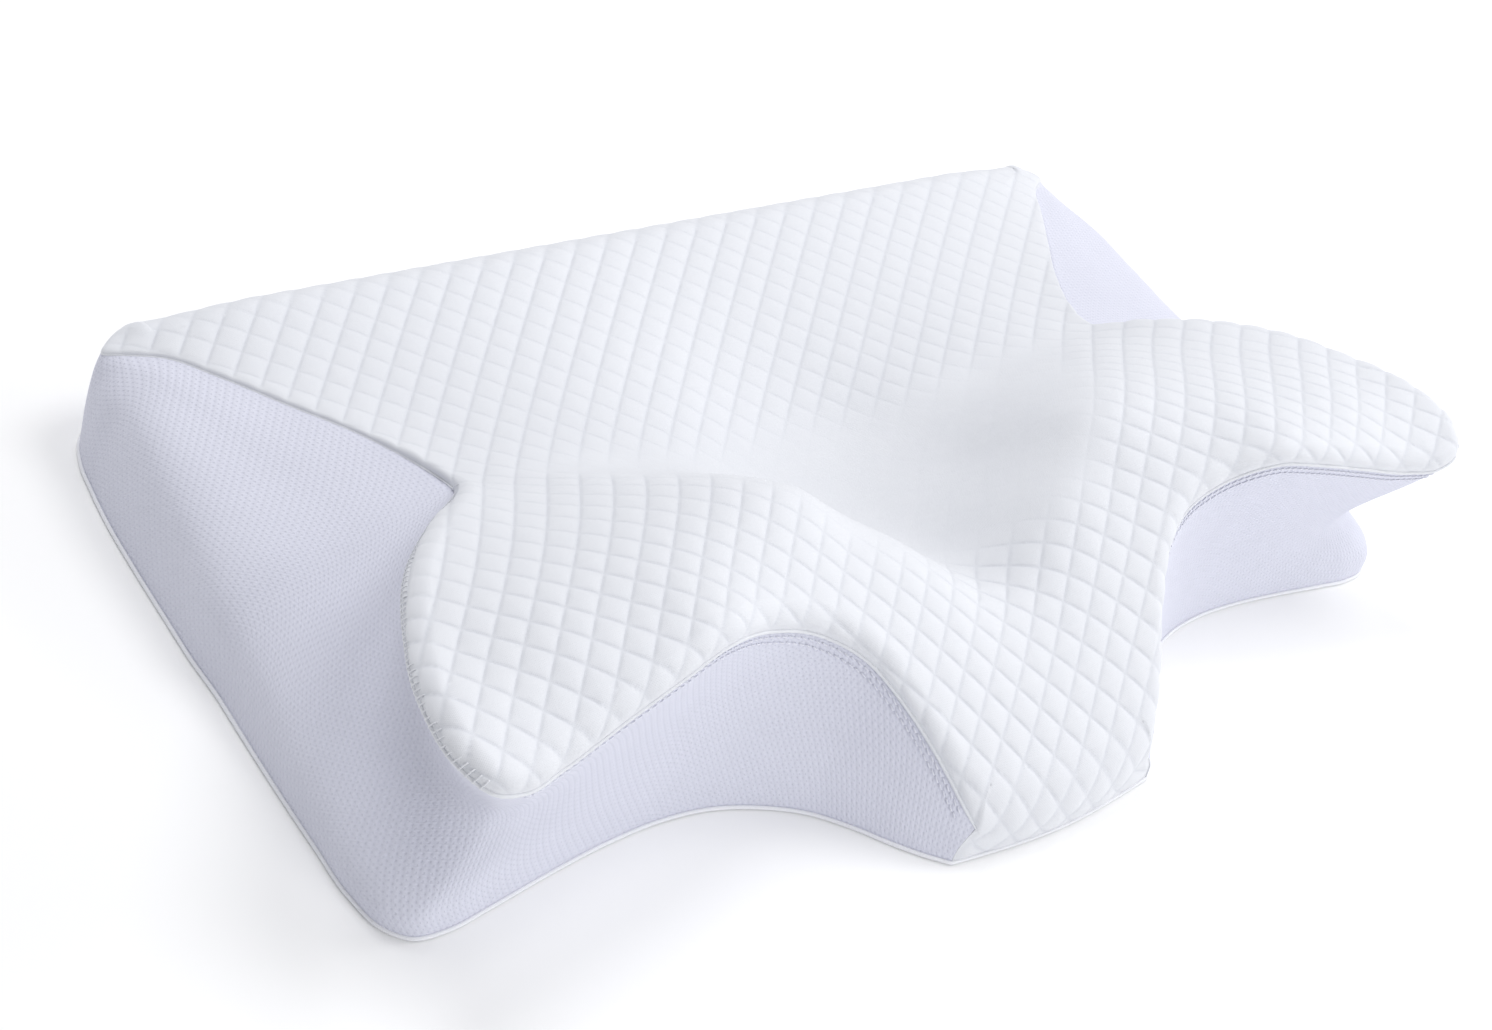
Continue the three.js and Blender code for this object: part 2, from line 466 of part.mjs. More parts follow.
// plate of an XZ outline, with optional window, between two Y stations
function plateY(outline, holes, y0, y1) {
  const shape = new THREE.Shape(outline.map(([x, z]) => new THREE.Vector2(x, z)));
  holes.forEach((h) => shape.holes.push(new THREE.Path(h.map(([x, z]) => new THREE.Vector2(x, z)))));
  const g = new THREE.ExtrudeGeometry(shape, { depth: y1 - y0, bevelEnabled: false, steps: 1 });
  // local x,y,z -> world x,-z... keep right-handed: (x, y1 - d, z)
  g.applyMatrix4(new THREE.Matrix4().set(1, 0, 0, 0, 0, 0, -1, y1, 0, 1, 0, 0, 0, 0, 0, 1));
  return g;
}
const rounded = (cx, cz, w, h, r, n = 3) => {
  const out = [];
  [[1, 1, 0], [-1, 1, 90], [-1, -1, 180], [1, -1, 270]].forEach(([sx, sz, a0]) => {
    for (let i = 0; i <= n; i++) {
      const a = (a0 + 90 * i / n) * Math.PI / 180;
      out.push([cx + sx * (w / 2 - r) + r * Math.cos(a), cz + sz * (h / 2 - r) + r * Math.sin(a)]);
    }
  });
  return out;
};

// ---------------------------------------------------------------- pieces
const group = new THREE.Group();
group.name = 'cervical_contour_pillow';
const mat = (color, roughness, metalness = 0) => new THREE.MeshStandardMaterial({ color, roughness, metalness });
const quilt = () => mat(0xf4f6fa, 0.92);
const mesh3d = () => mat(0xdfe1ee, 0.95);
const piece = (name, geo, material) => {
  const m = new THREE.Mesh(geo, material);
  m.name = name;
  group.add(m);
  return m;
};
piece('foam_core', solidAt(CORE_DEPTH), mat(0xf2ead2, 0.95));
piece('liner_upper', sheet(['top', 'gusset_left', 'gusset_right', 'zip_upper', 'zip_lower'], LINER_DEPTH,
  LINER_DEPTH + LINER_THICKNESS, SEAM_GAP), mat(0xf7f7f4, 0.9));
piece('liner_lower', sheet(['base'], LINER_DEPTH, LINER_DEPTH + LINER_THICKNESS, SEAM_GAP), mat(0xf7f7f4, 0.9));
piece('cover_top_panel', sheet(['top'], 0, COVER_THICKNESS, SEAM_GAP), quilt());
piece('cover_gusset_left', sheet(['gusset_left'], 0, COVER_THICKNESS, SEAM_GAP), mesh3d());
piece('cover_gusset_right', sheet(['gusset_right'], 0, COVER_THICKNESS, SEAM_GAP), mesh3d());
piece('cover_base_panel', sheet(['base'], 0, COVER_THICKNESS, SEAM_GAP), mat(0xe9ebf2, 0.93));
piece('zip_tape_upper', sheet(['zip_upper'], TAPE_DEPTH, TAPE_DEPTH + TAPE_THICKNESS, SEAM_GAP), mat(0xf1f2f5, 0.85));
piece('zip_tape_lower', sheet(['zip_lower'], TAPE_DEPTH, TAPE_DEPTH + TAPE_THICKNESS, SEAM_GAP), mat(0xf1f2f5, 0.85));

const wallY = 19.10 * UNIT_Y;                       // back wall at the zip line
const coilY0 = wallY + 0.15, coilY1 = coilY0 + COIL_THICKNESS;
const coilOuter = COIL_GAP / 2 + COIL_HEIGHT;
const coil = (z0, z1) => prismX([[coilY0, z0], [coilY1, z0 + 0.35], [coilY1, z1 - 0.35], [coilY0, z1]].reverse(),
  -COIL_HALF_LENGTH, COIL_HALF_LENGTH);
piece('zip_coil_upper', coil(ZIP_MID + COIL_GAP / 2, ZIP_MID + coilOuter), mat(0xf5f5f5, 0.45));
piece('zip_coil_lower', coil(ZIP_MID - coilOuter, ZIP_MID - COIL_GAP / 2), mat(0xf5f5f5, 0.45));

// slider: channel over both coils with a bridge for the pull tab on its face
const chIn = coilOuter + SLIDER_CLEARANCE, chOut = SLIDER_WIDTH / 2;
const plateY0 = coilY1 + SLIDER_CLEARANCE, plateY1 = plateY0 + SLIDER_WALL;
const bridgeIn = plateY1 + TAB_THICKNESS + 0.8, bridgeOut = bridgeIn + 1.0;
const footY = wallY + 0.45;
const Z = ZIP_MID;
const sliderOutline = [[footY, Z - chOut], [plateY1 - 0.6, Z - chOut], [plateY1, Z - chOut + 0.6], [plateY1, Z + chOut - 0.6],
  [plateY1 - 0.6, Z + chOut], [footY, Z + chOut], [footY, Z + chIn], [plateY0, Z + chIn], [plateY0, Z - chIn], [footY, Z - chIn]];
const sx0 = SLIDER_X - SLIDER_LENGTH / 2, sx1 = SLIDER_X + SLIDER_LENGTH / 2;
const { default: Module } = await import('manifold-3d');
const wasm = await Module();
wasm.setup();
function toManifold(geo) {
  const g = geo.index ? geo.toNonIndexed() : geo;
  const p = g.attributes.position, map = new Map(), vp = [], tv = [];
  for (let i = 0; i < p.count; i++) {
    const key = [p.getX(i), p.getY(i), p.getZ(i)].map((v) => Math.round(v * 1e5)).join();
    if (!map.has(key)) { map.set(key, vp.length / 3); vp.push(p.getX(i), p.getY(i), p.getZ(i)); }
    tv.push(map.get(key));
  }
  return new wasm.Manifold(new wasm.Mesh({ numProp: 3, vertProperties: new Float32Array(vp), triVerts: new Uint32Array(tv) }));
}
function fromManifold(m) {
  const o = m.getMesh(), pos = [];
  for (let i = 0; i < o.vertProperties.length; i += o.numProp) pos.push([o.vertProperties[i], o.vertProperties[i + 1], o.vertProperties[i + 2]]);
  return geometry(pos, [...o.triVerts]);
}
// bail: an arch along the slider with the tab's head bar caught under it
const rect = (x0, x1, z0, z1) => [[x0, z0], [x1, z0], [x1, z1], [x0, z1]];
const BAIL_HALF = 4, BAIL_POST = 1, BAIL_WIDTH = 1.8;
const bridge = plateY(rect(SLIDER_X - BAIL_HALF, SLIDER_X + BAIL_HALF, Z - BAIL_WIDTH / 2, Z + BAIL_WIDTH / 2), [], plateY1 - 0.4, bridgeOut);
const bridgeGap = plateY(rect(SLIDER_X - BAIL_HALF + BAIL_POST, SLIDER_X + BAIL_HALF - BAIL_POST, Z - 2, Z + 2), [], plateY1 - 0.5, bridgeIn);
const slider = toManifold(prismX(sliderOutline, sx0, sx1)).add(toManifold(bridge).subtract(toManifold(bridgeGap)));
piece('zip_slider', fromManifold(slider), mat(0xc9cbd0, 0.35, 0.9));
// pull tab: head bar under the bail, a window that clears the bail, and a tongue
const tabY0 = plateY1 + 0.4, tabY1 = tabY0 + TAB_THICKNESS;
const HEAD_BAR = 1.4, headX1 = SLIDER_X + 1.6, headX0 = headX1 - HEAD_BAR;
const windowX0 = SLIDER_X - 5.2, tongueX0 = windowX0 - TAB_LENGTH;
const tabOutline = rounded((tongueX0 + headX1) / 2, Z, headX1 - tongueX0, TAB_WIDTH, 0.6, 3);
piece('zip_pull_tab', plateY(tabOutline, [rect(windowX0, headX0, Z - 1.5, Z + 1.5), rounded(tongueX0 + 4, Z, 3.6, 2.6, 1.1, 2)],
  tabY0, tabY1), mat(0xc9cbd0, 0.35, 0.9));
// stops crimped past each coil end
const stopX = COIL_HALF_LENGTH + 0.6;
const stopBox = (x0, z0, z1) => prismX([[wallY + 0.15, z0], [wallY + 2.3, z0], [wallY + 2.3, z1], [wallY + 0.15, z1]], x0, x0 + STOP_LENGTH);
piece('zip_top_stop_upper', stopBox(stopX, Z + 0.25, Z + 2.7), mat(0xc9cbd0, 0.4, 0.9));
piece('zip_top_stop_lower', stopBox(stopX, Z - 2.7, Z - 0.25), mat(0xc9cbd0, 0.4, 0.9));
piece('zip_bottom_stop', stopBox(-stopX - STOP_LENGTH, Z - 2.7, Z + 2.7), mat(0xc9cbd0, 0.4, 0.9));

// origin: middle of the bounding box at floor level
{
  const box = new THREE.Box3().setFromObject(group);
  const cx = (box.min.x + box.max.x) / 2, cy = (box.min.y + box.max.y) / 2;
  group.children.forEach((m) => m.geometry.translate(-cx, -cy, -box.min.z));
}
export default group;
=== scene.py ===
"""Looks of the butterfly cervical contour pillow: a moulded foam core in a thin liner and a sewn, zip-off cover."""
import math

import bpy
import numpy as np
from mathutils import Matrix, Vector, noise
from mathutils.geometry import delaunay_2d_cdt


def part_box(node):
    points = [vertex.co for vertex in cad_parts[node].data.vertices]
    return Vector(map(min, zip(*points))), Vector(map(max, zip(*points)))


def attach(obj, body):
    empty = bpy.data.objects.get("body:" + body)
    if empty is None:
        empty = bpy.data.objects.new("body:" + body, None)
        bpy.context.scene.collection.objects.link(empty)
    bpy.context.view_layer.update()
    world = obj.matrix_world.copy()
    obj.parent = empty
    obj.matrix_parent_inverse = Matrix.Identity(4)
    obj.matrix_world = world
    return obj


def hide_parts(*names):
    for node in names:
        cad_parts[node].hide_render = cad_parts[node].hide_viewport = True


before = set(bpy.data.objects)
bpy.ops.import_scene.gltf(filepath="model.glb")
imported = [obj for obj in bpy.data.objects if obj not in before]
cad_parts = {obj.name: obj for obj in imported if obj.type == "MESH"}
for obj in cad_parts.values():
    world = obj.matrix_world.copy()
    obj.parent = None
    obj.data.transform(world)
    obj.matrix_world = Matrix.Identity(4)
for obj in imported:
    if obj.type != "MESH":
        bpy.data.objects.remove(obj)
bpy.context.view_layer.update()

# ------------------------------------------------------------------ contour
# Drawing units of 9.5 mm: left half, the right half mirrors it. Columns: seam,
# recess, crease, base; back corner to neck lip.
UNIT = np.array([640 / (2 * 33.68), 378 / 39.85, 9.5])
SHIFT = np.array([0.0, 4.965, 0.0])
ZIP_TOP, ZIP_MID, ZIP_BOTTOM = 21.9, 16.6, 11.4
STATIONS = np.array([
    [[-27.24, 19.05, 2.305], [-27.24, 19.10, 1.75], [-27.24, 19.09, 1.10], [-27.24, 18.85, 0]],
    [[-28.20, 19.20, 3.40], [-28.55, 19.18, 2.50], [-28.75, 19.10, 1.40], [-28.80, 18.85, 0]],
    [[-29.40, 19.30, 4.50], [-29.65, 19.20, 3.30], [-29.80, 19.05, 1.80], [-29.85, 18.75, 0]],
    [[-30.90, 18.60, 4.85], [-31.10, 18.50, 3.80], [-31.25, 18.35, 2.30], [-31.30, 18.20, 0]],
    [[-31.60, 17.80, 5.00], [-31.90, 17.65, 4.30], [-32.15, 17.45, 2.90], [-32.25, 17.35, 0]],
    [[-30.90, 17.15, 5.30], [-31.40, 16.65, 5.00], [-32.25, 16.15, 3.90], [-32.85, 15.90, 0]],
    [[-29.30, 16.05, 5.65], [-30.50, 15.30, 5.45], [-32.00, 14.60, 4.45], [-33.15, 14.20, 0]],
    [[-27.75, 14.00, 5.90], [-29.70, 13.20, 5.65], [-32.10, 12.30, 4.70], [-33.40, 12.00, 0]],
    [[-25.60, 11.10, 6.05], [-28.60, 10.20, 5.60], [-32.25, 9.10, 4.50], [-33.55, 8.90, 0]],
    [[-23.60, 8.40, 6.20], [-27.40, 7.20, 5.55], [-32.40, 5.90, 4.15], [-33.62, 5.60, 0]],
    [[-22.20, 5.80, 6.35], [-26.50, 4.60, 5.60], [-32.60, 3.30, 3.85], [-33.66, 3.00, 0]],
    [[-21.60, 3.40, 6.70], [-26.10, 2.60, 5.80], [-32.55, 1.00, 3.35], [-33.58, 0.70, 0]],
    [[-22.90, 1.70, 7.90], [-26.30, 0.90, 6.00], [-32.75, -0.90, 3.05], [-33.62, -1.20, 0]],
    [[-25.60, -0.30, 8.90], [-27.10, -1.10, 6.20], [-33.00, -2.80, 2.75], [-33.66, -3.10, 0]],
    [[-28.60, -3.00, 9.65], [-28.30, -3.70, 6.20], [-33.25, -5.10, 2.40], [-33.68, -5.40, 0]],
    [[-31.00, -6.70, 10.30], [-29.40, -7.00, 5.80], [-33.45, -8.00, 2.00], [-33.66, -8.20, 0]],
    [[-32.50, -10.30, 10.75], [-29.90, -9.90, 5.10], [-33.50, -10.70, 1.60], [-33.60, -10.90, 0]],
    [[-32.70, -13.20, 10.65], [-29.60, -11.50, 4.50], [-33.10, -12.70, 1.40], [-33.10, -12.90, 0]],
    [[-31.90, -14.70, 10.25], [-29.00, -12.30, 4.20], [-32.20, -13.60, 1.30], [-32.20, -13.80, 0]],
    [[-30.30, -15.00, 9.80], [-28.00, -12.60, 4.10], [-30.50, -13.70, 1.40], [-30.60, -14.00, 0]],
    [[-28.20, -14.50, 9.70], [-26.60, -12.60, 4.40], [-28.40, -13.40, 1.60], [-28.60, -13.75, 0]],
    [[-24.80, -13.70, 10.20], [-24.20, -12.40, 5.20], [-25.10, -12.90, 2.00], [-25.30, -13.25, 0]],
    [[-21.40, -13.00, 10.80], [-21.40, -12.10, 5.80], [-21.80, -12.45, 2.30], [-21.90, -12.85, 0]],
    [[-18.30, -12.25, 11.00], [-18.40, -11.75, 6.00], [-18.60, -12.25, 2.50], [-18.70, -12.75, 0]],
    [[-15.40, -11.65, 10.10], [-15.70, -11.80, 5.80], [-15.90, -12.55, 2.50], [-16.00, -13.10, 0]],
    [[-12.60, -11.95, 9.20], [-13.20, -12.50, 5.40], [-13.60, -13.40, 2.40], [-13.80, -13.90, 0]],
    [[-10.30, -13.35, 8.10], [-11.00, -13.90, 4.80], [-11.50, -14.70, 2.20], [-11.80, -15.05, 0]],
    [[-8.70, -15.50, 6.40], [-9.30, -15.95, 3.90], [-9.90, -16.35, 1.80], [-10.20, -16.60, 0]],
    [[-7.50, -17.60, 4.55], [-8.10, -17.85, 2.80], [-8.60, -18.05, 1.30], [-8.90, -18.20, 0]],
    [[-6.60, -19.20, 2.90], [-7.20, -19.25, 1.80], [-7.55, -19.30, 0.90], [-7.80, -19.40, 0]],
    [[-6.00, -20.05, 1.90], [-6.45, -20.10, 1.45], [-6.75, -20.15, 0.90], [-6.85, -20.25, 0]],
])
SEAM_START = 2
ROLL = np.array([0.8, 1.0, 1.3, 0.45, 0.18, 0.16, 0.16, 0.16, 0.16, 0.18, 0.30, 0.5, 0.8, 0.9, 0.95, 0.95, 0.95, 0.9, 0.85, 0.85,
                 0.85, 0.85, 0.85, 0.9, 0.9, 0.9, 0.85, 0.8, 0.8, 0.9, 1.2])
BACK_EDGE = (19.30, 4.50, 2.1)
LIP_EDGE = np.array([[-3.4, -20.62, 1.15], [0, -20.80, 1.10], [3.4, -20.62, 1.15]])
LIP_ROLL = 1.5
CONTOUR = [
    (0, 19.0, 6.75), (0, 14, 6.4), (0, 9, 5.7), (0, 5, 4.9), (0, 1, 4.4), (0, -3, 4.6), (0, -7, 5.8), (0, -10, 7.0),
    (0, -12.5, 7.6), (0, -15, 6.8), (0, -17.5, 5.2), (0, -19.2, 3.8), (0, -20.8, 2.6),
    (-3, -6, 6.9), (-3, -8.5, 8.0), (-3.2, -11, 8.5),
    (-6, 19.0, 6.75), (-6, 12, 6.3), (-6, 6, 5.6), (-6, 1, 5.0), (-6, -3, 6.5), (-6, -6, 8.9), (-5.2, -9, 9.5),
    (-6, -12.5, 8.7), (-6, -15.5, 6.9), (-5.5, -18, 4.9), (-5.5, -20.2, 3.0),
    (-9, -5, 10.8), (-9, -9, 10.4),
    (-12, 19.0, 6.7), (-12, 12, 6.3), (-12, 6, 6.0), (-12, 2, 6.6), (-12, -1, 8.9), (-12, -3.5, 10.9), (-12, -6, 11.6),
    (-12, -9, 11.1),
    (-17, 19.0, 6.65), (-17, 12, 6.25), (-17, 6, 6.3), (-17, 3, 7.0), (-17, 0, 8.9), (-17, -3, 10.6), (-17, -6, 11.6),
    (-17, -9, 11.9),
    (-22, 19.0, 6.6), (-22, 12, 6.2), (-22, -2, 10.0), (-22, -5.5, 11.2), (-22, -9.5, 11.9),
    (-26, 19.0, 6.5), (-26, -3.5, 10.5), (-26, -7, 11.4), (-26, -11, 11.7),
    (-30, -8.5, 11.3), (-30, -12, 11.4),
]
MIRROR = np.array([-1.0, 1.0, 1.0])


def metres(p):
    return (np.asarray(p, float) * UNIT + SHIFT) / 1000.0


def units(p_m):
    return (np.asarray(p_m, float) * 1000.0 - SHIFT) / UNIT


def smooth(t):
    t = np.clip(t, 0, 1)
    return t * t * (3 - 2 * t)


def spline(knots, values, t):
    """C1 curve through values at uneven knots."""
    knots, values = np.asarray(knots, float), np.asarray(values, float)
    h = np.diff(knots)
    shape = (-1,) + (1,) * (values.ndim - 1)
    d = np.diff(values, axis=0) / h.reshape(shape)
    m = np.empty_like(values)
    m[1:-1] = (d[:-1] * h[1:].reshape(shape) + d[1:] * h[:-1].reshape(shape)) / (h[1:] + h[:-1]).reshape(shape)
    m[0], m[-1] = 1.5 * d[0] - 0.5 * m[1], 1.5 * d[-1] - 0.5 * m[-2]
    i = np.clip(np.searchsorted(knots, t, side="right") - 1, 0, len(h) - 1)
    s = ((t - knots[i]) / h[i]).reshape(shape)
    hi = h[i].reshape(shape)
    return ((2 * s**3 - 3 * s**2 + 1) * values[i] + (s**3 - 2 * s**2 + s) * hi * m[i]
            + (-2 * s**3 + 3 * s**2) * values[i + 1] + (s**3 - s**2) * hi * m[i + 1])


KNOTS = np.concatenate([[0], np.cumsum(np.linalg.norm(np.diff(STATIONS, axis=0), axis=2).mean(axis=1))])


def stations(t):
    return spline(KNOTS, STATIONS, t)


def section(st, rows):
    """Side wall section through seam, recess, crease and base: (n, rows, 3) from (n, 4, 3)."""
    ext = np.concatenate([2 * st[:, :1] - st[:, 1:2], st, 2 * st[:, 3:] - st[:, 2:3]], axis=1)
    dt = np.maximum(np.linalg.norm(np.diff(ext, axis=1), axis=2) ** 0.5, 1e-4)[..., None]
    out = np.empty((len(st), len(rows), 3))
    for k, r in enumerate(rows):
        x = r * 3
        i = min(int(x), 2)
        w = x - i
        p0, p1, p2, p3 = (ext[:, i + j] for j in range(4))
        d0, d1, d2 = dt[:, i], dt[:, i + 1], dt[:, i + 2]
        t1 = ((p1 - p0) / d0 - (p2 - p0) / (d0 + d1) + (p2 - p1) / d1) * d1
        t2 = ((p2 - p1) / d1 - (p3 - p1) / (d1 + d2) + (p3 - p2) / d2) * d1
        out[:, k] = p1 + t1 * w + (-3 * p1 + 3 * p2 - 2 * t1 - t2) * w**2 + (2 * p1 - 2 * p2 + t1 + t2) * w**3
    out[..., 2] = np.maximum(out[..., 2], 0)
    return out


class Contour:
    """Height of the crown: thin-plate surface through the contour and seam points."""

    def __init__(self):
        pts = []
        for x, y, z in CONTOUR + [tuple(s[0] + np.array([0, 0, r])) for s, r in zip(STATIONS[SEAM_START:], ROLL[SEAM_START:])]:
            pts.append((x, y, z))
            if abs(x) > 1e-6:
                pts.append((-x, y, z))
        self.p = np.array(pts)
        n = len(pts)
        a = np.zeros((n + 3, n + 3))
        a[:n, :n] = self.kernel(self.p[:, None, 0] - self.p[None, :, 0], self.p[:, None, 1] - self.p[None, :, 1])
        a[np.arange(n), np.arange(n)] += 0.4
        a[:n, n] = a[n, :n] = 1
        a[:n, n + 1:] = self.p[:, :2]
        a[n + 1:, :n] = self.p[:, :2].T
        self.w = np.linalg.solve(a, np.concatenate([self.p[:, 2], [0, 0, 0]]))

    @staticmethod
    def kernel(dx, dy):
        r2 = dx * dx + dy * dy
        return np.where(r2 < 1e-12, 0, 0.5 * r2 * np.log(np.maximum(r2, 1e-12)))

    def __call__(self, x, y):
        x, y = np.asarray(x, float).ravel(), np.asarray(y, float).ravel()
        n, out = len(self.p), []
        for i in range(0, len(x), 20000):
            a, b = x[i:i + 20000], y[i:i + 20000]
            k = self.kernel(a[:, None] - self.p[None, :, 0], b[:, None] - self.p[None, :, 1])
            out.append(k @ self.w[:n] + self.w[n] + self.w[n + 1] * a + self.w[n + 2] * b)
        return np.concatenate(out) if out else np.zeros(0)


surface = Contour()


class Rim:
    """Outline of the crown seen from above, counter-clockwise, with its edge roll."""

    def __init__(self, step):
        t2 = KNOTS[SEAM_START]
        xe = -STATIONS[SEAM_START][0][0]
        nb = int(round(2 * xe / step))
        x = np.linspace(xe, -xe, nb + 1)[1:-1]
        roll_b = ROLL[SEAM_START] + (BACK_EDGE[2] - ROLL[SEAM_START]) * smooth((xe - np.abs(x)) / 6.5)
        back = np.stack([x, np.full_like(x, BACK_EDGE[0]), np.full_like(x, BACK_EDGE[1])], axis=1)
        self.t = np.linspace(t2, KNOTS[-1], int(round((KNOTS[-1] - t2) / step)) + 1)
        seam = stations(self.t)[:, 0]
        roll_s = spline(KNOTS, ROLL, self.t)
        ends = np.concatenate([seam[-1:], LIP_EDGE, seam[-1:] * MIRROR])
        k = np.concatenate([[0], np.cumsum(np.linalg.norm(np.diff(ends, axis=0), axis=1))])
        tl = np.linspace(0, k[-1], int(round(k[-1] / step)) + 1)
        self.lip_full = spline(k, ends, tl)
        self.lip_full = (self.lip_full + self.lip_full[::-1] * MIRROR) / 2
        lip = self.lip_full[1:-1]
        s = tl[1:-1] / k[-1]
        roll_l = ROLL[-1] + (LIP_ROLL - ROLL[-1]) * smooth(np.minimum(s, 1 - s) * 5)
        self.points = np.concatenate([back, seam, lip, seam[::-1] * MIRROR])
        self.roll = np.concatenate([roll_b, roll_s, roll_l, roll_s[::-1]])
        self.n_back, self.n_seam, self.n_lip = len(back), len(seam), len(lip)
        self.back_full = np.concatenate([seam[:1] * MIRROR, back, seam[:1]])

    def distance(self, x, y):
        a = self.points[:, :2]
        b = np.roll(a, -1, axis=0)
        ra, rb = self.roll, np.roll(self.roll, -1)
        d = b - a
        l2 = (d**2).sum(axis=1)
        best, roll = np.empty(len(x)), np.empty(len(x))
        for i in range(0, len(x), 8000):
            px, py = x[i:i + 8000, None] - a[None, :, 0], y[i:i + 8000, None] - a[None, :, 1]
            t = np.clip((px * d[None, :, 0] + py * d[None, :, 1]) / l2, 0, 1)
            r2 = (px - t * d[None, :, 0]) ** 2 + (py - t * d[None, :, 1]) ** 2
            j = r2.argmin(axis=1)
            rows = np.arange(len(j))
            best[i:i + 8000] = np.sqrt(r2[rows, j])
            tt = t[rows, j]
            roll[i:i + 8000] = ra[j] * (1 - tt) + rb[j] * tt
        return best, roll

    def inward(self):
        p = self.points[:, :2]
        t = np.roll(p, -1, axis=0) - np.roll(p, 1, axis=0)
        t /= np.linalg.norm(t, axis=1, keepdims=True)
        return np.stack([-t[:, 1], t[:, 0]], axis=1)


def crown_height(rim, x, y):
    s, r = rim.distance(x, y)
    z = surface(x, y)
    return np.where(s >= r, z, z - r + np.sqrt(np.maximum(0, r * r - (r - s) ** 2))), s, r


# fabric coordinates: the panel's own weave directions laid over the contour
STRETCH = 0.55                      # share of the slope taken up by the cloth's length
GX, GY = np.arange(-36, 36.01, 0.5), np.arange(-23, 21.01, 0.5)


def fabric_maps():
    X, Y = np.meshgrid(GX, GY, indexing="ij")
    Z = surface(X, Y).reshape(X.shape) * UNIT[2]
    zx, zy = np.gradient(Z, GX * UNIT[0], GY * UNIT[1])
    zx, zy = np.clip(zx, -1.2, 1.2) * STRETCH, np.clip(zy, -1.2, 1.2) * STRETCH
    ex, ey = np.sqrt(1 + zx**2) - 1, np.sqrt(1 + zy**2) - 1
    du = np.concatenate([np.zeros((1, len(GY))), np.cumsum((ex[1:] + ex[:-1]) / 2 * np.diff(GX)[:, None], axis=0)])
    du -= du[len(GX) // 2]
    dv = np.concatenate([np.zeros((len(GX), 1)), np.cumsum((ey[:, 1:] + ey[:, :-1]) / 2 * np.diff(GY)[None], axis=1)], axis=1)
    dv -= dv[:, [int(np.argmin(abs(GY - 12)))]]
    for _ in range(12):             # the cloth shares stretch with its neighbours
        for a in (du, dv):
            a[1:-1] = (a[:-2] + 2 * a[1:-1] + a[2:]) / 4
            a[:, 1:-1] = (a[:, :-2] + 2 * a[:, 1:-1] + a[:, 2:]) / 4
    return du * UNIT[0], dv * UNIT[1]


DU, DV = fabric_maps()


def bilinear(grid, x, y):
    fx = np.clip((x - GX[0]) / 0.5, 0, len(GX) - 1.001)
    fy = np.clip((y - GY[0]) / 0.5, 0, len(GY) - 1.001)
    i, j = fx.astype(int), fy.astype(int)
    a, b = fx - i, fy - j
    return (grid[i, j] * (1 - a) * (1 - b) + grid[i + 1, j] * a * (1 - b)
            + grid[i, j + 1] * (1 - a) * b + grid[i + 1, j + 1] * a * b)


def fabric(x, y):
    """Cloth coordinates in mm of a plan point in drawing units."""
    return x * UNIT[0] + bilinear(DU, x, y), y * UNIT[1] + bilinear(DV, x, y)


def unfabric(u, v):
    x, y = u / UNIT[0], v / UNIT[1]
    for _ in range(14):
        x, y = (u - bilinear(DU, x, y)) / UNIT[0], (v - bilinear(DV, x, y)) / UNIT[1]
    return x, y


# ------------------------------------------------------------------ meshes
def make_object(name, verts, faces, material=None, body="pillow", smooth_shading=True, attributes=None, uv=None):
    me = bpy.data.meshes.new(name)
    verts, faces = np.asarray(verts, float), np.asarray(faces)
    me.vertices.add(len(verts))
    me.vertices.foreach_set("co", verts.astype(np.float32).ravel())
    k = faces.shape[1]
    me.loops.add(len(faces) * k)
    me.loops.foreach_set("vertex_index", faces.astype(np.int32).ravel())
    me.polygons.add(len(faces))
    me.polygons.foreach_set("loop_start", np.arange(0, len(faces) * k, k, dtype=np.int32))
    me.update(calc_edges=True)
    me.validate()
    if smooth_shading:
        me.polygons.foreach_set("use_smooth", np.ones(len(me.polygons), bool))
    for key, val in (attributes or {}).items():
        a = me.attributes.new(key, "FLOAT", "POINT")
        a.data.foreach_set("value", np.asarray(val, np.float32))
    if uv is not None:
        layer = me.uv_layers.new(name="cloth")
        idx = np.empty(len(me.loops), np.int32)
        me.loops.foreach_get("vertex_index", idx)
        layer.data.foreach_set("uv", np.asarray(uv, np.float32)[idx].ravel())
    me.update()
    ob = bpy.data.objects.new(name, me)
    bpy.context.scene.collection.objects.link(ob)
    if material is not None:
        me.materials.append(material)
    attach(ob, body)
    return ob


def grid_faces(n, m, flip=False):
    i, j = np.meshgrid(np.arange(n - 1), np.arange(m - 1), indexing="ij")
    a = (i * m + j).ravel()
    f = np.stack([a, a + 1, a + m + 1, a + m], axis=1)
    return f[:, ::-1] if flip else f


def vertex_normals(verts, faces):
    n = np.zeros_like(verts)
    k = faces.shape[1]
    if k == 4:
        fn = np.cross(verts[faces[:, 2]] - verts[faces[:, 0]], verts[faces[:, 3]] - verts[faces[:, 1]])
    else:
        fn = np.cross(verts[faces[:, 1]] - verts[faces[:, 0]], verts[faces[:, 2]] - verts[faces[:, 0]])
    for c in range(k):
        np.add.at(n, faces[:, c], fn)
    return n / np.maximum(np.linalg.norm(n, axis=1, keepdims=True), 1e-12)


def weld(verts, faces, eps=2e-6):
    key = np.round(verts / eps).astype(np.int64)
    _, first, inv = np.unique(key, axis=0, return_index=True, return_inverse=True)
    inv = inv.ravel()
    f = inv[faces]
    if f.shape[1] == 3:
        ok = (f[:, 0] != f[:, 1]) & (f[:, 1] != f[:, 2]) & (f[:, 0] != f[:, 2])
        f = f[ok]
    return verts[first], f, first


def tris(quads):
    return np.concatenate([quads[:, [0, 1, 2]], quads[:, [0, 2, 3]]])


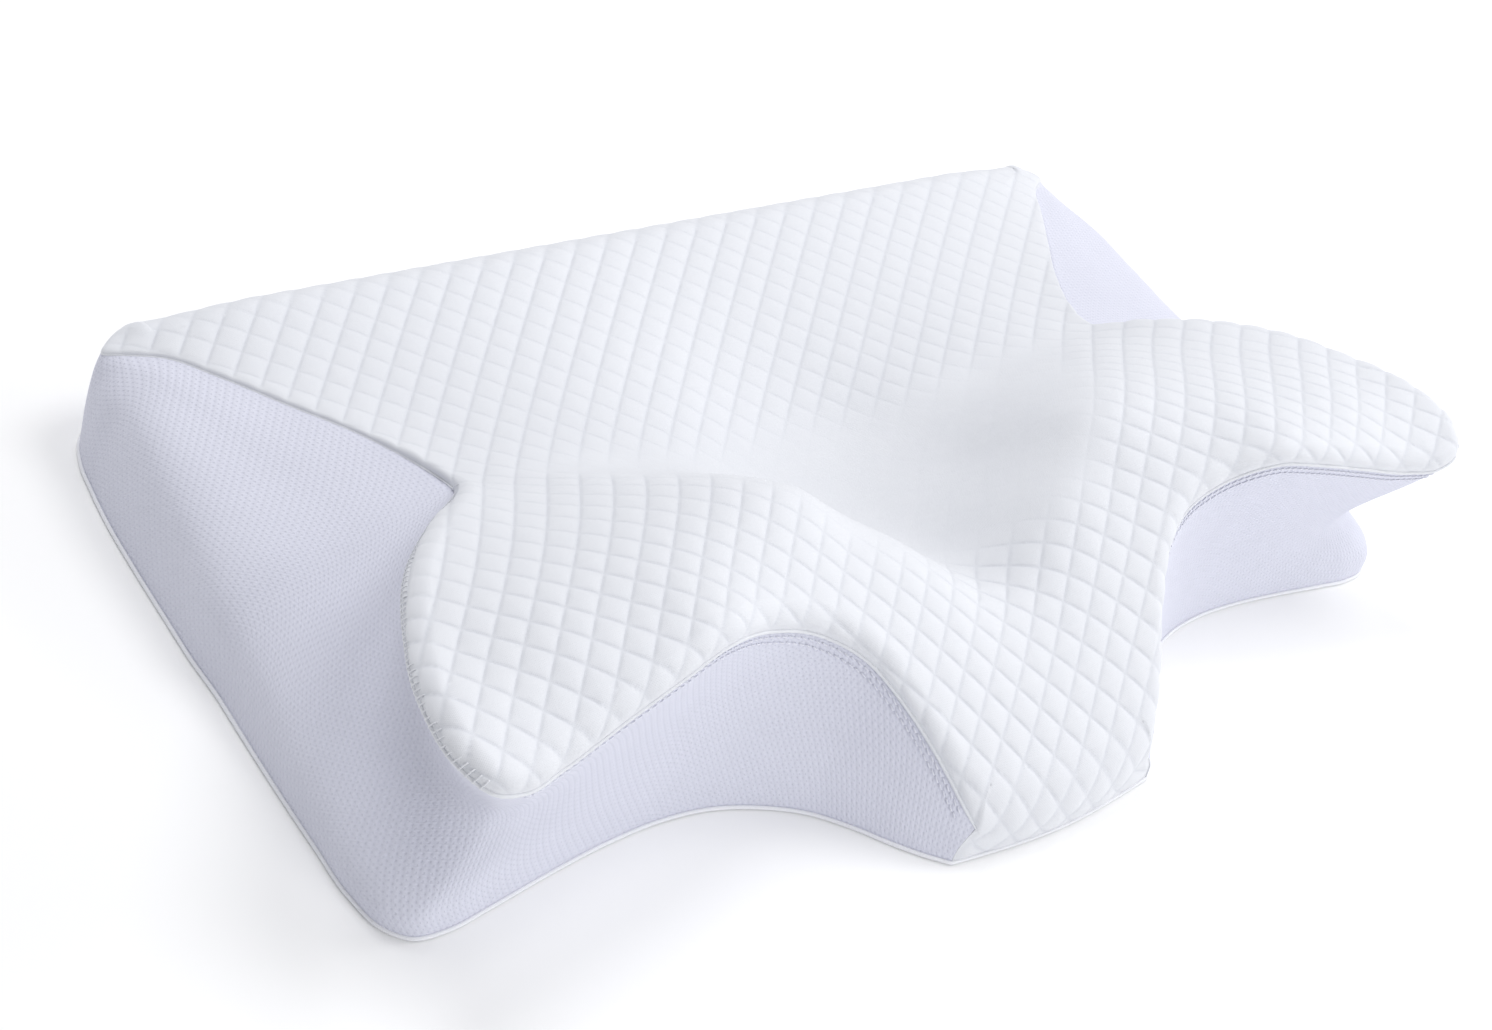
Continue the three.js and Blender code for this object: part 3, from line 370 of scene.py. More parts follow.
def thicken(verts, faces, depth, attributes=None, uv=None):
    """Closed sheet: the outer face, an inner copy `depth` below it and a rim."""
    n = vertex_normals(verts, faces)
    N, k = len(verts), faces.shape[1]
    edges = {}
    e = np.concatenate([np.stack([faces[:, i], faces[:, (i + 1) % k]], axis=1) for i in range(k)])
    s = np.sort(e, axis=1)
    _, idx, cnt = np.unique(s, axis=0, return_index=True, return_counts=True)
    rim = e[idx[cnt == 1]]
    inner = faces[:, ::-1] + N
    if k == 3:
        side = np.concatenate([np.stack([rim[:, 1], rim[:, 0], rim[:, 0] + N], 1),
                               np.stack([rim[:, 1], rim[:, 0] + N, rim[:, 1] + N], 1)])
    else:
        side = np.stack([rim[:, 1], rim[:, 0], rim[:, 0] + N, rim[:, 1] + N], 1)
    v = np.concatenate([verts, verts - n * depth])
    f = np.concatenate([faces, inner, side])
    att = {a: np.concatenate([b, b]) for a, b in (attributes or {}).items()}
    return v, f, att, (None if uv is None else np.concatenate([uv, uv]))


def triangulate(outline, interior, eps=1e-5):
    """Delaunay mesh inside an outline; returns faces over [outline, interior] points (counter-clockwise)."""
    pts = np.concatenate([outline, interior])
    n = len(outline)
    co, _, fa, orig, _, _ = delaunay_2d_cdt([Vector(p) for p in pts.tolist()], [(i, (i + 1) % n) for i in range(n)], [], 1, eps)
    back = np.array([o[0] if o else -1 for o in orig])
    f = back[np.array(fa)]
    if (f < 0).any():
        f = f[(f >= 0).all(axis=1)]
    a, b, c = pts[f[:, 0]], pts[f[:, 1]], pts[f[:, 2]]
    area = (b[:, 0] - a[:, 0]) * (c[:, 1] - a[:, 1]) - (b[:, 1] - a[:, 1]) * (c[:, 0] - a[:, 0])
    f[area < 0] = f[area < 0][:, ::-1]
    return f[np.abs(area) > 1e-12]


def inside(poly, x, y):
    out = np.zeros(len(x), bool)
    j = len(poly) - 1
    for i in range(len(poly)):
        (xi, yi), (xj, yj) = poly[i], poly[j]
        if yi != yj:
            out ^= ((yi > y) != (yj > y)) & (x < (xj - xi) * (y - yi) / (yj - yi) + xi)
        j = i
    return out


def crown_points(rim, angles, lattice):
    """Plan points of the crown: the outline, roll rings that don't fold, and the lattice within."""
    P, inn = rim.points[:, :2], rim.inward()
    loops = []
    for a in angles:
        s = rim.roll * (1 - math.cos(a))
        q = P + inn * s[:, None]
        d, _ = rim.distance(q[:, 0], q[:, 1])
        keep = (d > 0.93 * s) & inside(P, q[:, 0], q[:, 1])
        loops.append(q[keep])
    d, r = rim.distance(lattice[:, 0], lattice[:, 1])
    ok = (d > r + 0.08) & inside(P, lattice[:, 0], lattice[:, 1])
    return np.concatenate(loops + [lattice[ok]])


# ------------------------------------------------------------------ quilting
CELL_RUN, CELL_CROSS = 13.9, 12.6    # mm between stitch lines running to the back right, and between those across them
FAN = -0.00053                      # per mm: the running lines open out a little from left to right
PUFF = 1.15                         # mm rise of a cell over its stitch lines
# plan of the ground where the cloth is drawn tight and the quilting goes flat: the hollow and the two valleys beside it
TIGHT = np.array([(-18.6, 2.9), (-15.8, 3.9), (-11.4, 4.0), (-7.2, 3.5), (0.0, 4.2), (7.2, 3.5), (11.4, 4.0), (15.8, 3.9),
                  (18.6, 2.9), (12.9, -3.5), (8.4, -9.4), (4.4, -10.6), (0.0, -9.6), (-4.4, -10.6), (-8.4, -9.4), (-12.9, -3.5)])


def quilt_fade(x, y, s):
    """1 where the quilting stands full, less where the cloth is drawn tight over the hollow. Plan point in units."""
    d = np.full(len(x), 1e9)
    for a, b in zip(TIGHT, np.roll(TIGHT, -1, axis=0)):
        e = b - a
        t = np.clip(((x - a[0]) * e[0] + (y - a[1]) * e[1]) / (e @ e), 0, 1)
        d = np.minimum(d, np.hypot(x - a[0] - t * e[0], y - a[1] - t * e[1]))
    d = np.where(inside(TIGHT, x, y), d, -d)
    return 1 - 0.94 * smooth((d + 1.0) / 3.0)


def quilt_profile(p, q, cross):
    """Cell height 0..1 and closeness to a stitch line 0..1, from distances across the two sets of lines in mm."""
    a, b = np.abs(np.sin(np.pi * p / CELL_CROSS)), np.abs(np.sin(np.pi * q / CELL_RUN))
    ha = ((np.sqrt(a * a + 0.004) - 0.063) / 0.939) ** 0.45
    hb = ((np.sqrt(b * b + 0.004) - 0.063) / 0.939) ** 0.50
    h = (1 - cross * (1 - ha)) * hb
    da = np.arcsin(np.clip(a, 0, 1)) / np.pi * CELL_CROSS
    db = np.arcsin(np.clip(b, 0, 1)) / np.pi * CELL_RUN
    line = np.maximum(cross * np.exp(-((da / 0.9) ** 2)), np.exp(-((db / 0.9) ** 2)))
    return h, line


def drape_noise(p, size, amount, seed):
    """Small seeded unevenness of the cloth, in metres."""
    return np.array([noise.noise(Vector((a / size + seed, b / size - seed, c / size + 3.1 * seed))) for a, b, c in p.tolist()]) * amount


# ------------------------------------------------------------------ the sewn shape
def crown_zip_parts(step, rows, angles, lattice, wall_rows):
    """Every panel of the closed shape over shared edge points, in drawing units."""
    rim = Rim(step)
    P = rim.points
    inner = crown_points(rim, angles, lattice)
    faces = triangulate(P[:, :2] * UNIT[:2], inner * UNIT[:2])
    z, s, r = crown_height(rim, inner[:, 0], inner[:, 1])
    # the seam line is the seam's own height; the difference dies out inwards
    z0 = surface(P[:, 0], P[:, 1]) - rim.roll
    gap = P[:, 2] - z0
    d2i = np.empty(len(inner), int)
    for i in range(0, len(inner), 8000):
        q = inner[i:i + 8000]
        d2i[i:i + 8000] = ((q[:, None, 0] - P[None, :, 0]) ** 2 + (q[:, None, 1] - P[None, :, 1]) ** 2).argmin(axis=1)
    z = z + gap[d2i] * (1 - smooth(s / 3.2))
    crown = np.concatenate([P, np.column_stack([inner, z])])
    inn = rim.inward()
    info = {
        "s": np.concatenate([np.zeros(len(P)), s]), "r": np.concatenate([rim.roll, r]),
        "inward": np.concatenate([inn, inn[d2i]]), "near": np.concatenate([np.arange(len(P)), d2i]),
    }
    n0 = max(3, int(round(KNOTS[SEAM_START] / step)))
    t0 = np.linspace(0, KNOTS[SEAM_START], n0)
    T = np.concatenate([t0[:-1], rim.t])
    gus = section(stations(T), rows)
    back_rows = []
    for t in t0[::-1]:
        e = stations(np.array([t]))[0, 0]
        back_rows.append(e)
    for row in gus[0][1:]:
        back_rows.append(row)
    frac = np.linspace(1, -1, rim.n_back + 2)
    back = np.array([[[abs(e[0]) * f, e[1], e[2]] for f in frac] for e in back_rows])
    back[0] = rim.back_full
    end = gus[-1]
    arc = np.concatenate([[0], np.cumsum(np.linalg.norm(np.diff(end, axis=0), axis=1))])
    arc /= arc[-1]
    low = np.concatenate([end[-1:], LIP_EDGE * np.array([1, 1, 0]), end[-1:] * MIRROR])
    top_pts = np.concatenate([end[:1], LIP_EDGE, end[:1] * MIRROR])
    k = np.concatenate([[0], np.cumsum(np.linalg.norm(np.diff(top_pts, axis=0), axis=1))])
    low = spline(k, low, np.linspace(0, k[-1], len(rim.lip_full)))
    low = (low + low[::-1] * MIRROR) / 2
    corr = end - (end[0] + (end[-1] - end[0]) * arc[:, None])
    w = 1 - smooth(np.linspace(0, 1, len(rim.lip_full)) * 4)
    lip = (rim.lip_full[:, None] * (1 - arc[None, :, None]) + low[:, None] * arc[None, :, None]
           + corr[None] * w[:, None, None] + (corr * MIRROR)[None] * w[::-1, None, None])
    return rim, crown, faces, info, gus, back, lip, low, n0, T


def lattice_plan(spacing):
    if spacing:
        x, y = np.meshgrid(np.arange(-34, 34.01, spacing), np.arange(-21, 19.5, spacing * 0.866))
        x = x + (np.arange(len(x)) % 2)[:, None] * spacing / 2
        return np.column_stack([x.ravel(), y.ravel()])
    off = np.array([0, 0.045, 0.115, 0.225, 0.40, 0.60, 0.775, 0.885, 0.955])
    k = np.arange(-33, 33)
    line = (k[:, None] + off[None]).ravel()
    p, q = np.meshgrid(line * CELL_CROSS, line * CELL_RUN, indexing="ij")
    p, q = p.ravel(), q.ravel()
    u = (p + q) / math.sqrt(2)
    for _ in range(12):
        u = (p + q - FAN * u ** 2 / 2) / math.sqrt(2)
    v = math.sqrt(2) * p - u
    keep = (np.abs(u) < 345) & (v > -235) & (v < 200)
    x, y = unfabric(u[keep], v[keep])
    return np.column_stack([x, y])


FINE = 0.125
rows_fine = np.linspace(0, 1, 40)
angles_fine = [math.radians(a) for a in np.linspace(4.5, 90, 19)]
rim, crown, crown_f, info, gus, back, lip, lip_low, n0, T = crown_zip_parts(FINE, rows_fine, angles_fine, lattice_plan(0), 1)

# the quilted panel: crown, back strip down to the zip, front fall of the lip
cu, cv = fabric(crown[:, 0], crown[:, 1])
phi = np.arcsin(np.clip((info["r"] - info["s"]) / info["r"], 0, 1))
extra = np.where(info["s"] < info["r"], (info["r"] * phi - (info["r"] - info["s"])) * 9.5, 0)
cu, cv = cu - info["inward"][:, 0] * extra, cv - info["inward"][:, 1] * extra
arc_in = np.where(info["s"] < info["r"], info["r"] * (math.pi / 2 - phi), info["s"] - info["r"] + info["r"] * math.pi / 2) * 9.5
edge_kind = np.zeros(len(rim.points))          # 1 where the panel runs on past the outline, with no seam
edge_kind[:rim.n_back] = 1
edge_kind[rim.n_back + rim.n_seam:rim.n_back + rim.n_seam + rim.n_lip] = 1
seam_d = np.where(edge_kind[info["near"]] > 0, 99.0, arc_in)

strip = back[:n0]                              # rows from the shoulder line to the hem
sx = strip.reshape(-1, 3)
su0, sv0 = cu[:0], cv[:0]
top_idx = np.concatenate([[len(rim.points) - 1], np.arange(rim.n_back), [rim.n_back]])
# the outline starts at the right end of the back edge, so its last point is the right seam start
eu, ev = cu[top_idx], cv[top_idx]
fall = (strip[0, :, 2][None] - strip[:, :, 2]) * UNIT[2]
su = np.broadcast_to(eu[None], strip.shape[:2]).ravel()
sv = (ev[None] + fall).ravel()
s_edge = np.minimum((np.abs(strip[0, 0, 0]) - np.abs(strip[..., 0])) * UNIT[0] + 0.0, 99).ravel()
s_hem = ((strip[..., 2] - strip[-1, 0, 2]) * UNIT[2]).ravel()
strip_seam = np.minimum(np.maximum(s_edge, 0), s_hem)

li = np.concatenate([[rim.n_back + rim.n_seam - 1], rim.n_back + rim.n_seam + np.arange(rim.n_lip), [rim.n_back + rim.n_seam + rim.n_lip]])
lu0, lv0 = cu[li], cv[li]
lip_rows = lip[:, ::2] if lip.shape[1] > 12 else lip
if not np.allclose(lip_rows[:, -1], lip[:, -1]):
    lip_rows = np.concatenate([lip_rows, lip[:, -1:]], axis=1)
lfall = (lip_rows[:, :1, 2] - lip_rows[..., 2]) * UNIT[2]
lu = np.broadcast_to(lu0[:, None], lip_rows.shape[:2]).ravel()
lv = (lv0[:, None] - lfall).ravel()
l_end = np.minimum(np.linalg.norm((lip_rows - lip_rows[:1]) * UNIT, axis=2), np.linalg.norm((lip_rows - lip_rows[-1:]) * UNIT, axis=2))
l_low = lip_rows[..., 2] * UNIT[2]
lip_seam = np.minimum(l_end, l_low).ravel()

parts_v = np.concatenate([crown, sx, lip_rows.reshape(-1, 3)])
fab_u, fab_v = np.concatenate([cu, su, lu]), np.concatenate([cv, sv, lv])
seam_mm = np.concatenate([seam_d, strip_seam, lip_seam])
n1, n2 = len(crown), len(crown) + len(sx)
f_strip = tris(grid_faces(strip.shape[0], strip.shape[1], flip=True)) + n1
f_lip = tris(grid_faces(lip_rows.shape[0], lip_rows.shape[1], flip=False)) + n2
parts_f = np.concatenate([crown_f, f_strip, f_lip])
V = metres(parts_v)
V, F, first = weld(V, parts_f)
fab_u, fab_v, seam_mm = fab_u[first], fab_v[first], seam_mm[first]
plan = parts_v[first]
N = vertex_normals(V, F)
if N[np.argmax(V[:, 2]), 2] < 0:
    raise RuntimeError("the crown faces inward")
p, q = (fab_u + fab_v) / math.sqrt(2), (fab_u - fab_v) / math.sqrt(2) + FAN * fab_u ** 2 / 2
h, line = quilt_profile(p, q, 0.55 + 0.45 * smooth((-3.0 - plan[:, 1]) / 6.0))
fade = quilt_fade(plan[:, 0], plan[:, 1], None) * smooth(seam_mm / 4.5) * (1 - 0.65 * smooth((plan[:, 1] - 17.4) / 1.6))
rise = PUFF * fade * h - 0.40 * (1 - 0.7 * smooth((plan[:, 1] - 4.5) / 2.5)) * np.exp(-(seam_mm / 2.6) ** 2)
quilt_v = V + N * (rise / 1000)[:, None]
# painted shade: how far the colour is darkened along the quilting grooves, where shade falls in the real cloth
stitch = line * fade
print("quilt", len(V), len(F))


# ------------------------------------------------------------------ materials
def new_material(name):
    m = bpy.data.materials.new(name)
    m.use_nodes = True
    nt = m.node_tree
    nt.nodes.clear()
    out = nt.nodes.new("ShaderNodeOutputMaterial")
    b = nt.nodes.new("ShaderNodeBsdfPrincipled")
    nt.links.new(b.outputs[0], out.inputs[0])
    return m, nt, b


def node(nt, kind, **values):
    n = nt.nodes.new(kind)
    for k, v in values.items():
        if k.startswith("_"):
            setattr(n, k[1:], v)
        else:
            n.inputs[int(k[1:]) if k[0] == "i" and k[1:].isdigit() else k].default_value = v
    return n


def math_node(nt, op, a, b=None, clamp=False):
    n = nt.nodes.new("ShaderNodeMath")
    n.operation = op
    n.use_clamp = clamp
    for i, x in enumerate((a, b)):
        if x is None:
            continue
        if isinstance(x, (int, float)):
            n.inputs[i].default_value = x
        else:
            nt.links.new(x, n.inputs[i])
    return n.outputs[0]


def mix_colour(nt, fac, a, b):
    n = nt.nodes.new("ShaderNodeMix")
    n.data_type = "RGBA"
    if isinstance(fac, (int, float)):
        n.inputs[0].default_value = fac
    else:
        nt.links.new(fac, n.inputs[0])
    for i, x in ((6, a), (7, b)):
        if isinstance(x, tuple):
            n.inputs[i].default_value = (*x, 1.0)
        else:
            nt.links.new(x, n.inputs[i])
    return n.outputs[2]


def bump(nt, height, strength, distance, normal=None):
    n = nt.nodes.new("ShaderNodeBump")
    n.inputs["Strength"].default_value = strength
    n.inputs["Distance"].default_value = distance
    nt.links.new(height, n.inputs["Height"])
    if normal is not None:
        nt.links.new(normal, n.inputs["Normal"])
    return n.outputs[0]


def quilted_knit():
    """White knit ticking over loft: fine stockinette rows, with painted shade darkening the colour along the stitched
    grooves.
    """
    m, nt, b = new_material("quilted_knit_white")
    uv = node(nt, "ShaderNodeUVMap", _uv_map="cloth")
    sep = nt.nodes.new("ShaderNodeSeparateXYZ")
    nt.links.new(uv.outputs[0], sep.inputs[0])
    u, v = sep.outputs[0], sep.outputs[1]           # metres / 0.1
    w = 2 * math.pi * 0.1
    # stockinette: rows of small V loops, 1.15 mm wide and 0.95 mm tall
    a = math_node(nt, "MULTIPLY", u, w / 0.00115)
    c = math_node(nt, "MULTIPLY", v, w / 0.00095)
    zig = math_node(nt, "MULTIPLY", math_node(nt, "COSINE", a), 1.3)
    loops = math_node(nt, "SINE", math_node(nt, "ADD", c, zig))
    wale = math_node(nt, "COSINE", math_node(nt, "MULTIPLY", a, 2.0))
    knit = math_node(nt, "ADD", math_node(nt, "MULTIPLY", loops, 0.35), math_node(nt, "MULTIPLY", wale, 0.25))
    co = nt.nodes.new("ShaderNodeTexCoord")
    soft = node(nt, "ShaderNodeTexNoise", Scale=95.0, Detail=3.0, Roughness=0.55)
    nt.links.new(co.outputs["Object"], soft.inputs["Vector"])
    fuzz = node(nt, "ShaderNodeTexNoise", Scale=900.0, Detail=2.0)
    nt.links.new(co.outputs["Object"], fuzz.inputs["Vector"])
    n1_ = bump(nt, knit, 0.30, 0.00022)
    n2_ = bump(nt, fuzz.outputs[0], 0.25, 0.00025, n1_)
    n3_ = bump(nt, soft.outputs[0], 0.35, 0.0007, n2_)
    nt.links.new(n3_, b.inputs["Normal"])
    st = node(nt, "ShaderNodeAttribute", _attribute_name="stitch")
    st.attribute_type = "GEOMETRY"
    base = mix_colour(nt, soft.outputs[0], (0.704, 0.718, 0.757), (0.735, 0.747, 0.780))
    tex = math_node(nt, "MULTIPLY", math_node(nt, "ADD", loops, 1.0), 0.04)
    base = mix_colour(nt, tex, base, (0.64, 0.66, 0.72))
    # painted shade: the colour is mixed towards a darker blue-grey along the quilting grooves
    col = mix_colour(nt, math_node(nt, "MULTIPLY", st.outputs["Fac"], 0.32), base, (0.55, 0.57, 0.63))
    nt.links.new(col, b.inputs["Base Color"])
    b.inputs["Roughness"].default_value = 0.92
    b.inputs["Specular IOR Level"].default_value = 0.25
    b.inputs["Sheen Weight"].default_value = 0.18
    b.inputs["Sheen Roughness"].default_value = 0.5
    return m


def mesh_knit(name, tint=(0.690, 0.700, 0.792), hole=(0.585, 0.595, 0.700), pitch=0.0031, lean=-0.52):
    """Spacer knit: wales of raised loops with small open eyes between them."""
    m, nt, b = new_material(name)
    uv = node(nt, "ShaderNodeUVMap", _uv_map="cloth")
    sep = nt.nodes.new("ShaderNodeSeparateXYZ")
    nt.links.new(uv.outputs[0], sep.inputs[0])
    u, v = sep.outputs[0], sep.outputs[1]
    w = 2 * math.pi * 0.1
    ur = math_node(nt, "ADD", math_node(nt, "MULTIPLY", u, math.cos(lean)), math_node(nt, "MULTIPLY", v, math.sin(lean)))
    vr = math_node(nt, "SUBTRACT", math_node(nt, "MULTIPLY", v, math.cos(lean)), math_node(nt, "MULTIPLY", u, math.sin(lean)))
    a = math_node(nt, "MULTIPLY", ur, w / pitch)
    c = math_node(nt, "MULTIPLY", vr, w / (pitch * 1.05))
    ca, cc = math_node(nt, "COSINE", a), math_node(nt, "COSINE", c)
    eye = math_node(nt, "MULTIPLY", ca, cc)         # staggered eyes
    rib = math_node(nt, "COSINE", math_node(nt, "MULTIPLY", a, 1.0))
    eye_s = nt.nodes.new("ShaderNodeMapRange")
    eye_s.interpolation_type = "SMOOTHSTEP"
    nt.links.new(eye, eye_s.inputs["Value"])
    for k, val in (("From Min", 0.35), ("From Max", 0.95), ("To Min", 0.0), ("To Max", 1.0)):
        eye_s.inputs[k].default_value = val
    hole_f = eye_s.outputs[0]
    a3 = math_node(nt, "SINE", math_node(nt, "ADD", math_node(nt, "MULTIPLY", c, 3.0), math_node(nt, "MULTIPLY", ca, 1.4)))
    co = nt.nodes.new("ShaderNodeTexCoord")
    soft = node(nt, "ShaderNodeTexNoise", Scale=60.0, Detail=3.0, Roughness=0.5)
    nt.links.new(co.outputs["Object"], soft.inputs["Vector"])
    fuzz = node(nt, "ShaderNodeTexNoise", Scale=700.0, Detail=2.0)
    nt.links.new(co.outputs["Object"], fuzz.inputs["Vector"])
    height = math_node(nt, "ADD", math_node(nt, "MULTIPLY", hole_f, -1.0), math_node(nt, "MULTIPLY", rib, -0.28))
    height = math_node(nt, "ADD", height, math_node(nt, "MULTIPLY", a3, 0.10))
    n1_ = bump(nt, height, 0.45, 0.0006)
    n2_ = bump(nt, fuzz.outputs[0], 0.25, 0.0003, n1_)
    nt.links.new(n2_, b.inputs["Normal"])
    base = mix_colour(nt, soft.outputs[0], tuple(x * 0.975 for x in tint), tuple(min(1, x * 1.02) for x in tint))
    col = mix_colour(nt, math_node(nt, "MULTIPLY", hole_f, 0.48), base, hole)
    col = mix_colour(nt, math_node(nt, "MULTIPLY", math_node(nt, "ADD", rib, 1.0), 0.10), col, hole)
    nt.links.new(col, b.inputs["Base Color"])
    b.inputs["Roughness"].default_value = 0.88
    b.inputs["Specular IOR Level"].default_value = 0.3
    b.inputs["Sheen Weight"].default_value = 0.12
    b.inputs["Sheen Roughness"].default_value = 0.45
    return m


def plain_cloth(name, light, dark, scale=1400.0, rough=0.85, sheen=0.1, bump_m=0.00015):
    m, nt, b = new_material(name)
    co = nt.nodes.new("ShaderNodeTexCoord")
    sep = nt.nodes.new("ShaderNodeSeparateXYZ")
    nt.links.new(co.outputs["Object"], sep.inputs[0])
    a = math_node(nt, "SINE", math_node(nt, "MULTIPLY", math_node(nt, "ADD", sep.outputs[0], sep.outputs[2]), scale * 4))
    c = math_node(nt, "SINE", math_node(nt, "MULTIPLY", math_node(nt, "SUBTRACT", sep.outputs[0], sep.outputs[2]), scale * 4))
    weave = math_node(nt, "MULTIPLY", a, c)
    soft = node(nt, "ShaderNodeTexNoise", Scale=120.0, Detail=4.0)
    nt.links.new(co.outputs["Object"], soft.inputs["Vector"])
    nt.links.new(bump(nt, weave, 0.5, bump_m), b.inputs["Normal"])
    col = mix_colour(nt, soft.outputs[0], dark, light)
    col = mix_colour(nt, math_node(nt, "MULTIPLY", math_node(nt, "ADD", weave, 1.0), 0.06), col, dark)
    nt.links.new(col, b.inputs["Base Color"])
    b.inputs["Roughness"].default_value = rough
    b.inputs["Sheen Weight"].default_value = sheen
    return m


def thread_material(name, light, dark):
    m, nt, b = new_material(name)
    co = nt.nodes.new("ShaderNodeTexCoord")
    soft = node(nt, "ShaderNodeTexNoise", Scale=1600.0, Detail=2.0)
    nt.links.new(co.outputs["Object"], soft.inputs["Vector"])
    nt.links.new(bump(nt, soft.outputs[0], 0.5, 0.0001), b.inputs["Normal"])
    nt.links.new(mix_colour(nt, soft.outputs[0], dark, light), b.inputs["Base Color"])
    b.inputs["Roughness"].default_value = 0.6
    b.inputs["Sheen Weight"].default_value = 0.2
    return m


def foam_material():
    m, nt, b = new_material("slow_foam_cream")
    co = nt.nodes.new("ShaderNodeTexCoord")
    cells = node(nt, "ShaderNodeTexVoronoi", Scale=900.0)
    nt.links.new(co.outputs["Object"], cells.inputs["Vector"])
    soft = node(nt, "ShaderNodeTexNoise", Scale=25.0, Detail=3.0)
    nt.links.new(co.outputs["Object"], soft.inputs["Vector"])
    nt.links.new(bump(nt, cells.outputs["Distance"], 0.4, 0.0003), b.inputs["Normal"])
    nt.links.new(mix_colour(nt, soft.outputs[0], (0.86, 0.79, 0.62), (0.92, 0.86, 0.71)), b.inputs["Base Color"])
    b.inputs["Roughness"].default_value = 0.95
    return m


def metal_material():
    m, nt, b = new_material("zip_metal_satin")
    co = nt.nodes.new("ShaderNodeTexCoord")
    soft = node(nt, "ShaderNodeTexNoise", Scale=500.0, Detail=4.0)
    nt.links.new(co.outputs["Object"], soft.inputs["Vector"])
    nt.links.new(bump(nt, soft.outputs[0], 0.25, 0.00005), b.inputs["Normal"])
    nt.links.new(mix_colour(nt, soft.outputs[0], (0.60, 0.61, 0.63), (0.72, 0.73, 0.75)), b.inputs["Base Color"])
    rr = nt.nodes.new("ShaderNodeMapRange")
    nt.links.new(soft.outputs[0], rr.inputs["Value"])
    rr.inputs["To Min"].default_value, rr.inputs["To Max"].default_value = 0.26, 0.42
    nt.links.new(rr.outputs[0], b.inputs["Roughness"])
    b.inputs["Metallic"].default_value = 1.0
    return m


MAT_QUILT = quilted_knit()
MAT_MESH = mesh_knit("mesh_knit_lavender")
MAT_BASE = mesh_knit("base_knit_pale", tint=(0.78, 0.79, 0.85), hole=(0.68, 0.69, 0.76), pitch=0.0024)
MAT_TAPE = plain_cloth("zip_tape_weave", (0.84, 0.85, 0.88), (0.74, 0.75, 0.79))
MAT_THREAD = thread_material("thread_white", (0.90, 0.905, 0.93), (0.78, 0.79, 0.84))
MAT_ROLL = thread_material("seam_roll_knit", (0.755, 0.768, 0.80), (0.70, 0.715, 0.755))
MAT_STITCH = thread_material("stitch_lilac", (0.76, 0.77, 0.84), (0.70, 0.71, 0.79))
MAT_COIL = thread_material("coil_nylon", (0.88, 0.88, 0.90), (0.80, 0.80, 0.83))
MAT_LINER = plain_cloth("liner_jersey", (0.90, 0.90, 0.88), (0.83, 0.83, 0.81))
MAT_FOAM = foam_material()
MAT_METAL = metal_material()

# ------------------------------------------------------------------ cover panels
CLOTH = 0.0016                       # cover cloth thickness, metres
uv_q = np.column_stack([fab_u, fab_v]) / 100.0
v_, f_, att, uv_ = thicken(quilt_v, F, CLOTH, {"stitch": stitch}, uv_q)
cover_top = make_object("cover_quilted_top", v_, f_, MAT_QUILT, attributes=att, uv=uv_)
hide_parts("cover_top_panel")


def gusset_panel(name, side, node_name):
    g = gus * (MIRROR if side > 0 else 1)
    m = metres(g)
    n, k = m.shape[:2]
    dv = np.concatenate([np.zeros((n, 1)), np.cumsum(np.linalg.norm(np.diff(m, axis=1), axis=2), axis=1)], axis=1)
    mid = m[:, int(k * 0.55)]
    du = np.concatenate([[0], np.cumsum(np.linalg.norm(np.diff(mid, axis=0), axis=1))])
    uv = np.stack([np.broadcast_to(du[:, None], (n, k)), dv], axis=2).reshape(-1, 2) / 0.1
    flat = m.reshape(-1, 3)
    f = grid_faces(n, k, flip=side > 0)
    nn = vertex_normals(flat, f)
    d = dv.ravel()
    down = (dv[:, -1:] - dv).ravel()
    base = 0.45 * (1 - 0.7 * smooth((flat[:, 1] - 0.048) / 0.024)) * np.exp(-(d / 0.0026) ** 2) + 0.5 * np.exp(-(down / 0.0022) ** 2)
    wave = drape_noise(flat * np.array([1, 1, 1]), 0.055, 0.9, 2.3) * smooth(d / 0.02) * smooth(down / 0.02)
    flat = flat + nn * ((wave - base) / 1000)[:, None]
    v2, f2, _, uv2 = thicken(flat, f, CLOTH, None, uv)
    ob = make_object(name, v2, f2, MAT_MESH, uv=uv2)
    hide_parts(node_name)
    return ob, m


cover_left, left_m = gusset_panel("cover_mesh_gusset_left", -1, "cover_gusset_left")
cover_right, right_m = gusset_panel("cover_mesh_gusset_right", 1, "cover_gusset_right")

# base panel: flat underside and the hem below the zip
back_low = back[n0 - 1:]             # rows from the hem of the quilt to the floor
zs = back_low[:, 0, 2] * UNIT[2]


def back_level(z_mm):
    """One row of the back wall at a height."""
    i = np.clip(np.searchsorted(-zs, -z_mm) - 1, 0, len(zs) - 2)
    t = (zs[i] - z_mm) / (zs[i] - zs[i + 1])
    return back_low[i] * (1 - t) + back_low[i + 1] * t


def base_outline():
    rowb = back_low[-1]
    left = gus[:, -1]
    return np.concatenate([rowb[1:-1], left, lip_low[1:-1], (left * MIRROR)[::-1]])


